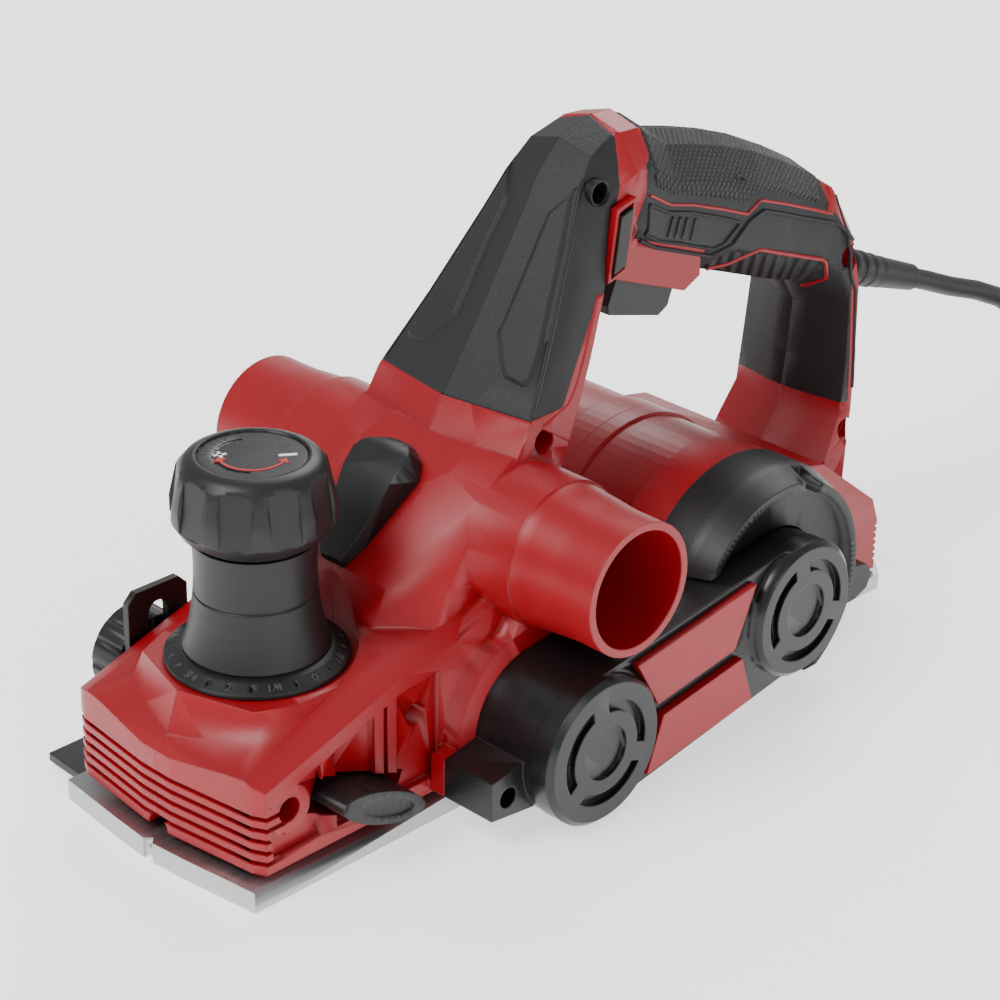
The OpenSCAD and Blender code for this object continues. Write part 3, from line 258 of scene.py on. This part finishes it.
def make_finishes():
    c = colours()
    moulded("red_moulding", c.body_red, 0.36, 1500.0, 0.00006)
    moulded("hard_black", c.hard_black, 0.42, 1300.0, 0.00008, 0.2)
    moulded("gloss_black", c.hard_black, 0.27, 900.0, 0.00003, 0.15)
    grained("soft_black", c.soft_black, 0.55, 0.00011)
    grained("cord_black", (0.012, 0.0125, 0.014), 0.5, 0.00004)
    knurled("knurled_black", c.soft_black)
    ribbed("ribbed_black", c.soft_black)
    brushed("brushed_aluminium", (0.52, 0.52, 0.53), 0.4, (18.0, 900.0, 900.0))
    brushed("machined_steel", (0.55, 0.55, 0.56), 0.34, (500.0, 30.0, 500.0))
    brushed("polished_steel", (0.7, 0.7, 0.71), 0.2, (200.0, 40.0, 200.0))
    brushed("dark_steel", (0.09, 0.09, 0.095), 0.4, (300.0, 300.0, 300.0))
    brushed("plain_brass", (0.75, 0.52, 0.2), 0.32, (300.0, 60.0, 300.0))
    brushed("lacquered_iron", (0.16, 0.16, 0.17), 0.5, (700.0, 700.0, 700.0))
    moulded("white_mark", (0.86, 0.86, 0.85), 0.5, 900.0, 0.00001, 0.04)
    moulded("grey_mark", (0.09, 0.09, 0.095), 0.5, 900.0, 0.00001, 0.04)
    moulded("red_mark", (0.5, 0.012, 0.018), 0.5, 900.0, 0.00001, 0.06)
    moulded("studio_floor", c.floor_white, 0.7, 60.0, 0.00001, 0.01)
    glow = FINISH["studio_floor"].node_tree.nodes["Principled BSDF"]
    glow.inputs["Emission Color"].default_value = (1, 1, 1, 1)
    glow.inputs["Emission Strength"].default_value = FLOOR_GLOW


SLOT_FINISH = {
    "red_plastic": "red_moulding", "soft_black": "soft_black", "aluminium": "brushed_aluminium",
    "steel": "machined_steel", "bearing_steel": "polished_steel", "brass": "plain_brass",
    "iron": "lacquered_iron", "carbon": "lacquered_iron", "belt_rubber": "hard_black",
    "cord_rubber": "cord_black", "black_plastic": "hard_black",
}
NODE_FINISH = {
    "housing_screws": "dark_steel", "cover_screws": "dark_steel", "belt_cover": "gloss_black",
    "lower_grip_pad": "ribbed_black",
    "knob_disc": "gloss_black", "lock_bezel": "red_moulding",
}


# ---- meshes --------------------------------------------------------------------

def place_piece(name, mesh, finish, body, smooth_angle=40.0, replaced=(), even=False):
    """Puts a finished mesh in the scene at the origin, riding on a body."""
    mesh.materials.clear()
    mesh.materials.append(FINISH[finish])
    mesh.shade_smooth()
    mesh.set_sharp_from_angle(angle=math.radians(smooth_angle))
    piece = bpy.data.objects.new(name, mesh)
    bpy.context.scene.collection.objects.link(piece)
    if even:
        weights = piece.modifiers.new("even", "WEIGHTED_NORMAL")
        weights.mode, weights.weight, weights.keep_sharp = "FACE_AREA_WITH_ANGLE", 90, True
    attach(piece, body)
    if replaced:
        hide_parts(*replaced)
    return piece


def finish_node(node, smooth_angle=32.0, finish=None):
    """A merged copy of a CAD node, smooth over shallow edges, in its own finish."""
    mesh = frame["nodes"][node].data.copy()
    bm = bmesh.new()
    bm.from_mesh(mesh)
    bmesh.ops.remove_doubles(bm, verts=bm.verts, dist=2e-6)
    bm.to_mesh(mesh)
    bm.free()
    slot = SLOT_OF[node]
    chosen = finish or NODE_FINISH.get(node, SLOT_FINISH[slot])
    return place_piece(node + "_finish", mesh, chosen, BODY_OF[node], smooth_angle, (node,), True)


def grid_faces(rows, columns, closed=False):
    """Quads of a rows x columns grid of points; closed joins the last column to the first."""
    i, j = np.meshgrid(np.arange(rows - 1), np.arange(columns if closed else columns - 1), indexing="ij")
    k = (j + 1) % columns
    quads = np.stack([i * columns + j, i * columns + k, (i + 1) * columns + k, (i + 1) * columns + j], -1)
    return quads.reshape(-1, 4)


def mesh_from(name, points, faces, uv=None):
    """A mesh from arrays of points in metres and faces; uv holds one pair a point."""
    mesh = bpy.data.meshes.new(name)
    mesh.from_pydata(points.reshape(-1, 3).tolist(), [], [list(map(int, f)) for f in faces])
    if uv is not None:
        layer = mesh.uv_layers.new(name="UVMap")
        index = np.empty(len(mesh.loops), dtype=np.int32)
        mesh.loops.foreach_get("vertex_index", index)
        layer.data.foreach_set("uv", uv.reshape(-1, 2)[index].astype(np.float32).ravel())
    mesh.update()
    return mesh


def facing_out(mesh, merge=0.0):
    """The mesh with every face turned outward, after points closer than merge are joined."""
    bm = bmesh.new()
    bm.from_mesh(mesh)
    if merge:
        bmesh.ops.remove_doubles(bm, verts=bm.verts, dist=merge)
    bmesh.ops.recalc_face_normals(bm, faces=bm.faces)
    bm.to_mesh(mesh)
    bm.free()
    return mesh


def closed_loft(name, rings):
    """A closed skin over rings of points, shape (rings, points, 3), with flat ends facing out."""
    count, around = rings.shape[:2]
    faces = grid_faces(count, around, True).tolist()
    faces.append(list(range(around))[::-1])
    faces.append([(count - 1) * around + k for k in range(around)])
    return facing_out(mesh_from(name, rings, faces))


# ---- the handle's surface -------------------------------------------------------

POST = [[0, 0], [.16, .97], [.5, 1], [.9, .98], [.99, .86]]
GRIP = [[0, 0], [.07, .62], [.32, 1], [.74, .97], [.98, .6]]
REAR = [[0, 0], [.03, .84], [.22, 1], [.66, .97], [.94, .3]]
REAR_L, TOP = 178.0, 179.4
DRUM_X = -36.0


def handle_outlines():
    """The side outline of each of the handle's stations, outer centre to inner centre, on the belt side:
    each point is a share of the way from the outer to the inner end, out by a share of the half width.
    A row holds the outer x and z, the inner x and z, the half width, and the style it blends from."""
    rows = [[-2, 90, 20, 72, 33, 0], [9, 108.8, 31, 94, 32, 0], [23.7, 130.2, 46.5, 115.5, 25.5, 0],
            [39.7, 155.4, 59, 134, 20, .25], [47, 167.4, 63, 136, 18.8, .6], [55, 175.6, 67, 136.5, 18, .85],
            [69, TOP, 72, 136, 18, 1], [77, TOP - .4, 76, 135, 17.8, 1], [90.5, 170, 82, 132, 17, 1]]
    for t in (0, .25, .5, .75, 1):
        rows.append([103 + 58 * t, 167 - 24 * t + 2.6 * math.sin(math.pi * t),
                     91 + 53 * t, 128.5 - 20.2 * t, 17, 1])
    rows += [[REAR_L - 7, 135, REAR_L - 23, 104.5, 18.5, 1.3],
             [REAR_L - 1, 121, REAR_L - 14.5, 100.5, 20, 1.6],
             [REAR_L, 104, REAR_L - 9, 92, 21, 2], [REAR_L - .3, 80, REAR_L - 10.8, 74, 22, 2],
             [REAR_L - .6, 60, REAR_L - 13.5, 55, 22.5, 2], [REAR_L - 1.5, 46, REAR_L - 24, 44, 24, 2],
             [REAR_L - 4, 30, REAR_L - 32, 28, 26, 2]]
    s = np.array(rows, float)
    style = np.array([POST, GRIP, REAR, REAR], float)
    k = np.floor(s[:, 5]).astype(int)
    f = (s[:, 5] - k)[:, None, None]
    blend = style[k] * (1 - f) + style[k + 1] * f
    depth = np.concatenate([blend[:, :, 0], np.ones((len(s), 1))], 1)
    width = np.concatenate([blend[:, :, 1], np.zeros((len(s), 1))], 1) * s[:, 4:5]
    x = s[:, None, 0] + (s[:, None, 2] - s[:, None, 0]) * depth + DRUM_X
    z = s[:, None, 1] + (s[:, None, 3] - s[:, None, 1]) * depth
    return np.stack([x, -width, z], -1) * MM


OUTLINES = handle_outlines()


def on_handle(t, p, side=-1):
    """Points and outward normals on the handle: t runs along its stations and p round its outline.
    The point is bilinear between the four nearest outline points; the normal is across its two slopes."""
    def spot(t, p):
        t = np.clip(t, 0, len(OUTLINES) - 1.001)
        p = np.clip(p, 0, 4.999)
        i, j = t.astype(int), p.astype(int)
        a, b = (t - i)[..., None], (p - j)[..., None]
        low = OUTLINES[i, j] * (1 - a) + OUTLINES[i + 1, j] * a
        high = OUTLINES[i, j + 1] * (1 - a) + OUTLINES[i + 1, j + 1] * a
        return low * (1 - b) + high * b
    t, p = np.asarray(t, float), np.asarray(p, float)
    here = spot(t, p)
    along = spot(t + .06, p) - spot(t - .06, p)
    across = spot(t, p + .06) - spot(t, p - .06)
    normal = np.cross(across, along)
    normal /= np.linalg.norm(normal, axis=-1, keepdims=True) + 1e-12
    middle = OUTLINES[np.clip(t, 0, 18).astype(int)].mean(-2)
    middle[..., 1] = 0
    flip = np.sign(np.sum(normal * (here - middle), -1, keepdims=True))
    normal *= np.where(flip == 0, 1, flip)
    if side > 0:
        here, normal = here * [1, -1, 1], normal * [1, -1, 1]
    return here, normal


def resample(path, step=0.7 * MM):
    """Points evenly spaced by length along a path given in handle coordinates."""
    path = np.array(path, float)
    legs = [np.linspace(path[k], path[k + 1], 40, endpoint=False) for k in range(len(path) - 1)]
    fine = np.concatenate(legs + [path[-1:]])
    spots = on_handle(fine[:, 0], fine[:, 1])[0]
    run = np.concatenate([[0], np.cumsum(np.linalg.norm(np.diff(spots, axis=0), axis=1))])
    count = max(4, int(run[-1] / step))
    even = np.linspace(0, run[-1], count)
    return np.stack([np.interp(even, run, fine[:, 0]), np.interp(even, run, fine[:, 1])], -1)


def rib(name, path, width, height, finish, side):
    """A low rounded rib along a path on the handle: a flat-topped profile with sloped flanks,
    set across the path and lifted along the surface's normal."""
    tp = resample(path)
    spot, normal = on_handle(tp[:, 0], tp[:, 1], side)
    run = np.gradient(spot, axis=0)
    run /= np.linalg.norm(run, axis=1, keepdims=True) + 1e-12
    across = np.cross(run, normal)
    shape = np.array([[-.5, -.9], [-.46, .35], [-.3, .9], [0, 1], [.3, .9], [.46, .35], [.5, -.9]])
    rings = (spot[:, None] + across[:, None] * shape[None, :, :1] * width
             + normal[:, None] * shape[None, :, 1:] * height)
    return place_piece(name, closed_loft(name, rings), finish, "housing", 50)


def plate(name, left, right, height, slope, finish, slot, side):
    """A raised plate on the handle between two paths: the height rises from each border over the slope's
    width, and the plate's own UV is its run along and across, in millimetres."""
    n, m = 90, 41

    def even(path):
        tp = resample(path, 0.2 * MM)
        k = np.linspace(0, len(tp) - 1, n)
        return np.stack([np.interp(k, np.arange(len(tp)), tp[:, c]) for c in (0, 1)], -1)

    a, b = even(left), even(right)
    r = np.linspace(0, 1, m)
    tp = a[:, None] * (1 - r[None, :, None]) + b[:, None] * r[None, :, None]
    spot, normal = on_handle(tp[..., 0], tp[..., 1], side)
    wide = np.linalg.norm(spot[:, -1] - spot[:, 0], axis=-1)[:, None]
    step = np.linalg.norm(np.diff(spot, axis=0), axis=-1).mean(1)
    far = np.concatenate([[0], np.cumsum(step)])
    border = np.minimum(np.minimum(r[None] * wide, (1 - r[None]) * wide),
                        np.minimum(far, far[-1] - far)[:, None])
    lift = np.clip(border / slope, 0, 1)
    lift = lift * lift * (3 - 2 * lift) * height
    top = spot + normal * (lift - 0.05 * MM)[..., None]
    low = spot - normal * 0.8 * MM
    u = np.broadcast_to(far[:, None], (n, m)) / MM
    v = r[None] * wide / MM
    points = np.concatenate([top.reshape(-1, 3), low.reshape(-1, 3)])
    uv = np.concatenate([np.stack([u, v], -1).reshape(-1, 2)] * 2)
    faces = grid_faces(n, m)
    under = faces[:, ::-1] + n * m
    rim = np.concatenate([np.arange(m), np.arange(1, n) * m + m - 1, (n - 1) * m + np.arange(m - 1)[::-1],
                          np.arange(1, n - 1)[::-1] * m])
    after = np.roll(rim, -1)
    wall = np.stack([rim, after, after + n * m, rim + n * m], -1)[:, ::-1]
    mesh = facing_out(mesh_from(name, points, np.concatenate([faces, under, wall]), uv))
    return place_piece(name, mesh, finish, "housing", 50)


# ---- operators --------------------------------------------------------------------

VIEW_YAW, VIEW_PITCH, VIEW_ROLL = -0.8, 0.46316, 0.018074
VIEW_SPOT = (-0.58327, -0.56401, 0.46954)
FOCAL_LENGTH, SENSOR_WIDTH = 108, 36
AIM = (0, 0, 0.08)
LAMPS = (("key", (-0.9, 0.1, 1.1), 13, 0.6), ("front", (-0.2, -1.3, 0.7), 5, 0.8),
         ("rim", (0.9, 0.5, 1.0), 12, 0.8))
WORLD_LIGHT = 0.55
FLOOR_GLOW = 1.1
FLOOR_HALF, FLOOR_Z = 4.0, -0.0003


class PLANER_OT_stage(bpy.types.Operator):
    """Camera, floor, lights and finishes. The camera's back axis is the direction of its yaw and pitch, and
    its right and up axes are the level pair turned by its roll."""
    bl_idname = "planer.stage"
    bl_label = "Studio"

    def execute(self, context):
        make_finishes()
        yaw, pitch, roll = VIEW_YAW, VIEW_PITCH, VIEW_ROLL
        back = Vector((math.sin(yaw) * math.cos(pitch), -math.cos(yaw) * math.cos(pitch), math.sin(pitch)))
        level = Vector((math.cos(yaw), math.sin(yaw), 0))
        rise = back.cross(level)
        right = math.cos(roll) * level + math.sin(roll) * rise
        up = -math.sin(roll) * level + math.cos(roll) * rise
        lens = bpy.data.cameras.new("view")
        lens.lens, lens.sensor_width, lens.clip_start = FOCAL_LENGTH, SENSOR_WIDTH, 0.01
        camera = bpy.data.objects.new("view", lens)
        place = Matrix((right, up, back)).transposed().to_4x4()
        place.translation = Vector(VIEW_SPOT)
        camera.matrix_world = place
        context.scene.collection.objects.link(camera)
        context.scene.camera = camera
        world = bpy.data.worlds.new("studio")
        world.use_nodes = True
        world.node_tree.nodes["Background"].inputs[0].default_value = (1, 1, 1, 1)
        world.node_tree.nodes["Background"].inputs[1].default_value = WORLD_LIGHT
        context.scene.world = world
        for name, spot, power, size in LAMPS:
            light = bpy.data.lights.new(name, "AREA")
            light.energy, light.size = power, size
            lamp = bpy.data.objects.new(name, light)
            lamp.location = spot
            lamp.rotation_euler = (Vector(AIM) - Vector(spot)).to_track_quat("-Z", "Y").to_euler()
            context.scene.collection.objects.link(lamp)
        s, z = FLOOR_HALF, FLOOR_Z
        corners = np.array([[-s, -s, z], [s, -s, z], [s, s, z], [-s, s, z]])
        mesh = mesh_from("floor", corners, [[0, 1, 2, 3]])
        mesh.materials.append(FINISH["studio_floor"])
        floor = bpy.data.objects.new("floor", mesh)
        context.scene.collection.objects.link(floor)
        return {"FINISHED"}


def cord_route():
    """Centre line of the lead, metres: down from the strain relief to the floor, then a flat coil of nine
    turns in three layers whose radius steps by one diameter a turn, and up into the plug."""
    run = np.array([[191, 0, 84.1], [205, 0, 78.5], [220, 0, 72], [236, 0, 66], [251, 0, 59], [264, 0, 50],
                    [275, 0, 38], [284, 0, 26], [293, 0, 15], [303, 0, 7], [314, 0, 3.6]], float)
    turns = 9.0
    n = int(turns * 18)
    k = np.linspace(0, turns, n + 1)[1:]
    knots = np.arange(0, 10)
    radius = np.interp(k, knots, [45.4, 38.5, 31.6, 31.6, 38.5, 45.4, 45.4, 38.5, 31.6, 31.6])
    height = np.interp(k, [0, 2.4, 3, 5.4, 6, 9], [3.6, 3.6, 10.5, 10.5, 17.4, 17.4])
    angle = np.pi / 2 - 2 * np.pi * k
    coil = np.stack([314 + radius * np.cos(angle), -45.5 + radius * np.sin(angle), height], -1)
    more = np.linspace(0, np.pi, 10)[1:]
    rise = np.interp(more, [0, np.pi / 2, np.pi], [17.4, 20, 31])
    last = np.stack([314 + 31.6 * np.sin(more), -45.5 + 31.6 * np.cos(more), rise], -1)
    end = np.array([[306, -77.1, 32.0], [296, -77, 32]])
    return np.concatenate([run, coil, last, end]) * MM


class PLANER_OT_cord(bpy.types.Operator):
    """The lead and its plug: a circle carried along the route, square to its run."""
    bl_idname = "planer.cord"
    bl_label = "Cord"

    def execute(self, context):
        s = sizes()
        route = cord_route()
        tangent = np.gradient(route, axis=0)
        tangent /= np.linalg.norm(tangent, axis=1, keepdims=True)
        side = np.cross(np.array([0, 0.0001, 1.0]), tangent)
        side /= np.linalg.norm(side, axis=1, keepdims=True)
        over = np.cross(tangent, side)
        a = np.linspace(0, 2 * np.pi, 16, endpoint=False)
        ring = np.cos(a)[None, :, None] * side[:, None] + np.sin(a)[None, :, None] * over[:, None]
        tube = closed_loft("lead", route[:, None] + ring * s.cord_width / 2)
        lead = place_piece("lead", tube, "cord_black", "housing", 60,
                           ("cord_tube", "cord_coil"))
        plug = finish_node("plug_body", 40)
        pins = finish_node("plug_pins", 40)
        return {"FINISHED"}


CORD_NODES = ("cord_tube", "cord_coil", "plug_body", "plug_pins")
SMOOTH_ANGLE = {
    "housing_left": 20, "housing_right": 20, "belt_cover": 20, "post_cover_left": 34,
    "post_cover_right": 34, "grip_cover_left": 50, "grip_cover_right": 50, "lower_grip_pad": 50,
    "scale_ring": 26, "knob_cap": 28,
}


class PLANER_OT_shells(bpy.types.Operator):
    """Housing halves, covers and every inner and fixed piece. The springs get a mesh of their own."""
    bl_idname = "planer.shells"
    bl_label = "Shells and works"

    def execute(self, context):
        for node in frame["nodes"]:
            if node not in CORD_NODES:
                piece = finish_node(node, SMOOTH_ANGLE.get(node, 30))
                if node == "shoe_springs":
                    self.flatten(piece)
        return {"FINISHED"}

    def flatten(self, springs):
        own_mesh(springs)


# Paths on the handle, as pairs: the place along its stations, and the place round its outline. A plate has
# two paths, one for each border.
RELIEF = {
    "panel": ([(4.03, .93), (3.29, .47), (2.44, .38), (1.83, .32), (1.41, .57), (1.39, .82)],
              [(4.2, .96), (3.79, .93), (2.93, .93), (2.35, .93), (1.75, .93), (1.45, .9)]),
    "groove": [(4.37, 1.05), (3.85, 1.05), (2.95, 1.05), (2.36, 1.05), (1.75, 1.05), (1.12, 1.05)],
    "red_edge": ([(2.82, 3.0), (2.7, 2.7), (2.19, 2.66), (1.64, 2.6), (1.43, 2.46), (1.06, 1.5)],
                 [(2.84, 3.9), (2.7, 3.9), (2.19, 3.9), (1.64, 3.9), (1.43, 3.9), (1.04, 3.9)]),
    "red_line": [(6.95, 2.44), (8.95, 2.4), (10.86, 2.44), (11.16, 2.15), (12.34, 2.08), (13.6, 1.98)],
    "red_tip": ([(13.5, 2.0), (13.75, 1.3), (13.6, .5)], [(13.75, 2.0), (14.02, 1.3), (13.87, .5)]),
    "rib_upper": [(6.98, 2.6), (8.99, 2.54), (10.72, 2.6), (10.18, 3.26), (7.07, 3.2), (6.98, 2.6)],
    "rib_lower": [(6.9, 3.43), (10.31, 3.52), (11.0, 2.56), (11.35, 2.32), (12.62, 2.25), (14.0, 2.12),
                  (14.9, 1.9)],
    "red_lower": [(10.58, 3.98), (11.1, 3.7), (11.66, 3.03), (12.82, 2.98), (14.16, 2.95), (15.0, 3.39),
                  (15.1, 4.2)],
    "rear_line": [(14.1, 1.05), (14.35, 1.61), (14.76, 2.14), (15.46, 2.45), (16.06, 2.32), (17.64, 2.0)],
}


# Piece, path, width of the rib or of the plate's slope in millimetres, height as a share of the relief,
# finish and slot.
MOULDED_LINES = (
    ("post_panel", "panel", 1.6, 1.5, "soft_black", "soft_black"),
    ("post_groove", "groove", 1.6, .2, "gloss_black", "soft_black"),
    ("post_red_edge", "red_edge", .6, .5, "red_moulding", "red_plastic"),
    ("grip_red_line", "red_line", 1.1, .7, "red_moulding", "red_plastic"),
    ("grip_red_tip", "red_tip", .6, .6, "red_moulding", "red_plastic"),
    ("grip_frame", "rib_upper", 1.2, 1, "soft_black", "soft_black"),
    ("grip_rail", "rib_lower", 1.5, 1.2, "soft_black", "soft_black"),
    ("pad_red_line", "red_lower", 1.4, .8, "red_moulding", "red_plastic"),
    ("rear_rail", "rear_line", 1.2, .7, "soft_black", "soft_black"),
)


class PLANER_OT_relief(bpy.types.Operator):
    """Ribs, panels, knurled pad and red lines moulded on the handle's covers."""
    bl_idname = "planer.relief"
    bl_label = "Handle relief"

    def execute(self, context):
        h = sizes().relief_height
        for side, word in ((-1, "left"), (1, "right")):
            for name, path, wide, high, finish, slot in MOULDED_LINES:
                if isinstance(RELIEF[path], tuple):
                    plate(f"{name}_{word}", *RELIEF[path], high * h, wide * MM, finish, slot, side)
                else:
                    rib(f"{name}_{word}", RELIEF[path], wide * MM, high * h, finish, side)
            for k in range(4):
                t = 8.26 + .31 * k
                rib(f"grip_bar_{word}_{k}", [(t, 2.64), (t - .02 + .02 * k, 3.04)], 1.3 * MM, .9 * h,
                    "gloss_black", side)
            edge_t = np.array([7.1, 8.59, 10.67, 11.04, 13.26])
            edge_p = np.array([2.25, 2.22, 2.27, 1.98, 1.78])
            t = np.linspace(7.1, 13.3, 30)
            low = list(zip(t, np.interp(t, edge_t, edge_p)))
            high = list(zip(t, np.full(30, .02)))
            plate("grip_knurl_" + word, high, low, .8 * h, 1.0 * MM, "knurled_black", "soft_black", side)
        return {"FINISHED"}


def flat_mark(name, outline, z, thick, finish):
    """A flat mark standing on the knob's disc: the outline, in metres, carried up by its thickness."""
    flat = np.array(outline, float)
    levels = (z - .0003, z + thick)
    rings = np.stack([np.concatenate([flat, np.full((len(flat), 1), level)], 1) for level in levels])
    return place_piece(name, closed_loft(name, rings), finish, "depth_knob", 30)


# Centre x and z, then how far out the mouth and the floor lie, millimetres.
WELLS = ((18.6, 163.0, 17.4, 8.6), (83.0, 148.0, 16.2, 8.6), (136.0, 112.0, 15.0, 11.6),
         (136.0, 52.0, 19.0, 14.6))


class PLANER_OT_wells(bpy.types.Operator):
    """Dark liners in the screw wells of the covers: a cup whose wall and floor are one turned profile."""
    bl_idname = "planer.wells"
    bl_label = "Screw wells"

    def execute(self, context):
        a = np.linspace(0, 2 * np.pi, 32, endpoint=False)
        for k, (x, z, mouth, floor) in enumerate(WELLS):
            profile = [(3.78, mouth), (3.78, floor), (3.3, floor + .1), (3.3, mouth)]
            rings = np.stack([np.stack([x + r * np.cos(a), np.full(32, -y), z + r * np.sin(a)], -1)
                              for r, y in profile + profile[:1]]) * MM
            mesh = facing_out(mesh_from(f"well_{k}", rings, grid_faces(5, 32, True)), 1e-6)
            finish, slot = ("hard_black", "black_plastic") if k < 2 else ("red_moulding", "red_plastic")
            place_piece(f"well_{k}", mesh, finish, "housing", 30)
        return {"FINISHED"}


class PLANER_OT_markings(bpy.types.Operator):
    """Plus, minus and turn marks on the knob, and the numbers on its ring."""
    bl_idname = "planer.markings"
    bl_label = "Markings"

    def execute(self, context):
        cx, cy = KNOB_AXIS
        z = 0.11253
        turn = -0.8

        def bar(name, u, v, long, wide, spin, finish):
            c, s = math.cos(spin), math.sin(spin)
            corner = [(-long, -wide), (long, -wide), (long, wide), (-long, wide)]
            outline = [(cx + u + a * c - b * s, cy + v + a * s + b * c) for a, b in corner]
            flat_mark(name, outline, z, .00012, finish)

        def spot(radius, angle):
            return radius * math.cos(angle), radius * math.sin(angle)

        plus = spot(9.0 * MM, math.radians(135))
        minus = spot(9.6 * MM, math.radians(-42))
        bar("mark_plus_a", *plus, 1.9 * MM, .5 * MM, turn + .35, "white_mark")
        bar("mark_plus_b", *plus, 1.9 * MM, .5 * MM, turn + .35 + math.pi / 2, "white_mark")
        bar("mark_minus", *minus, 2.6 * MM, .65 * MM, turn + 0.2, "white_mark")
        a = np.radians(np.linspace(160, 290, 48))
        outer = np.stack([cx + 9.9 * MM * np.cos(a), cy + 9.9 * MM * np.sin(a)], -1)
        inner = np.stack([cx + 9.0 * MM * np.cos(a[::-1]), cy + 9.0 * MM * np.sin(a[::-1])], -1)
        flat_mark("mark_arc", np.concatenate([outer, inner]), z, .0001, "red_mark")
        for k, (deg, way) in enumerate(((160, -1), (290, 1))):
            r = math.radians(deg)
            tip = math.radians(deg + way * 16)
            outline = [(cx + 11.4 * MM * math.cos(r), cy + 11.4 * MM * math.sin(r)),
                       (cx + 7.5 * MM * math.cos(r), cy + 7.5 * MM * math.sin(r)),
                       (cx + 9.5 * MM * math.cos(tip), cy + 9.5 * MM * math.sin(tip))]
            flat_mark(f"mark_arrow_{k}", outline if way < 0 else outline[::-1], z, .0001, "red_mark")
        for k, word in enumerate(("0", "1/2", "1", "3/4", "2", "1/4", "0", "1/2", "1", "3/4", "2", "1/4")):
            self.number(f"ring_number_{k}", word, math.radians(-90 + 30 * k), context)
        return {"FINISHED"}

    def number(self, name, word, angle, context):
        """A number laid on the ring's cone: its width becomes an angle, which is width over radius, and its
        height runs up the slope."""
        text = bpy.data.curves.new(name, "FONT")
        text.body, text.size, text.align_x = word, 3.6 * MM, "CENTER"
        text.extrude = 0.0001
        holder = bpy.data.objects.new(name, text)
        context.scene.collection.objects.link(holder)
        context.view_layer.update()
        mesh = bpy.data.meshes.new_from_object(holder)
        bpy.data.objects.remove(holder)
        p = np.empty(len(mesh.vertices) * 3)
        mesh.vertices.foreach_get("co", p)
        p = p.reshape(-1, 3)
        up = (p[:, 1] - 0.2 * MM) / (3.6 * MM)
        radius = 25.2 * MM - up * 2.9 * MM
        height = 52.2 * MM + up * 1.7 * MM + p[:, 2] + .00006
        around = angle + p[:, 0] / (24.4 * MM)
        x, y = KNOB_AXIS
        p = np.stack([x + radius * np.cos(around), y + radius * np.sin(around), height], -1)
        mesh.vertices.foreach_set("co", p.ravel())
        mesh.update()
        place_piece(name, mesh, "grey_mark", "depth_knob", 30)


OPERATORS = (PLANER_OT_stage, PLANER_OT_cord, PLANER_OT_shells, PLANER_OT_relief, PLANER_OT_wells,
             PLANER_OT_markings)


class PLANER_PT_panel(bpy.types.Panel):
    """Lists the planer's steps."""
    bl_idname = "PLANER_PT_panel"
    bl_label = "Hand planer"
    bl_space_type = "VIEW_3D"
    bl_region_type = "UI"
    bl_category = "Planer"

    def draw(self, context):
        for operator in OPERATORS:
            self.layout.operator(operator.bl_idname)


CLASSES = (PlanerSizes, PlanerColours) + OPERATORS + (PLANER_PT_panel,)


def register():
    for c in CLASSES:
        bpy.utils.register_class(c)
    bpy.types.Scene.planer_sizes = bpy.props.PointerProperty(type=PlanerSizes)
    bpy.types.Scene.planer_colours = bpy.props.PointerProperty(type=PlanerColours)


def unregister():
    del bpy.types.Scene.planer_colours
    del bpy.types.Scene.planer_sizes
    for c in reversed(CLASSES):
        bpy.utils.unregister_class(c)


def main():
    register()
    for step in (bpy.ops.planer.stage, bpy.ops.planer.cord, bpy.ops.planer.shells, bpy.ops.planer.relief,
                 bpy.ops.planer.wells, bpy.ops.planer.markings):
        step()


if __name__ == "__main__":
    main()
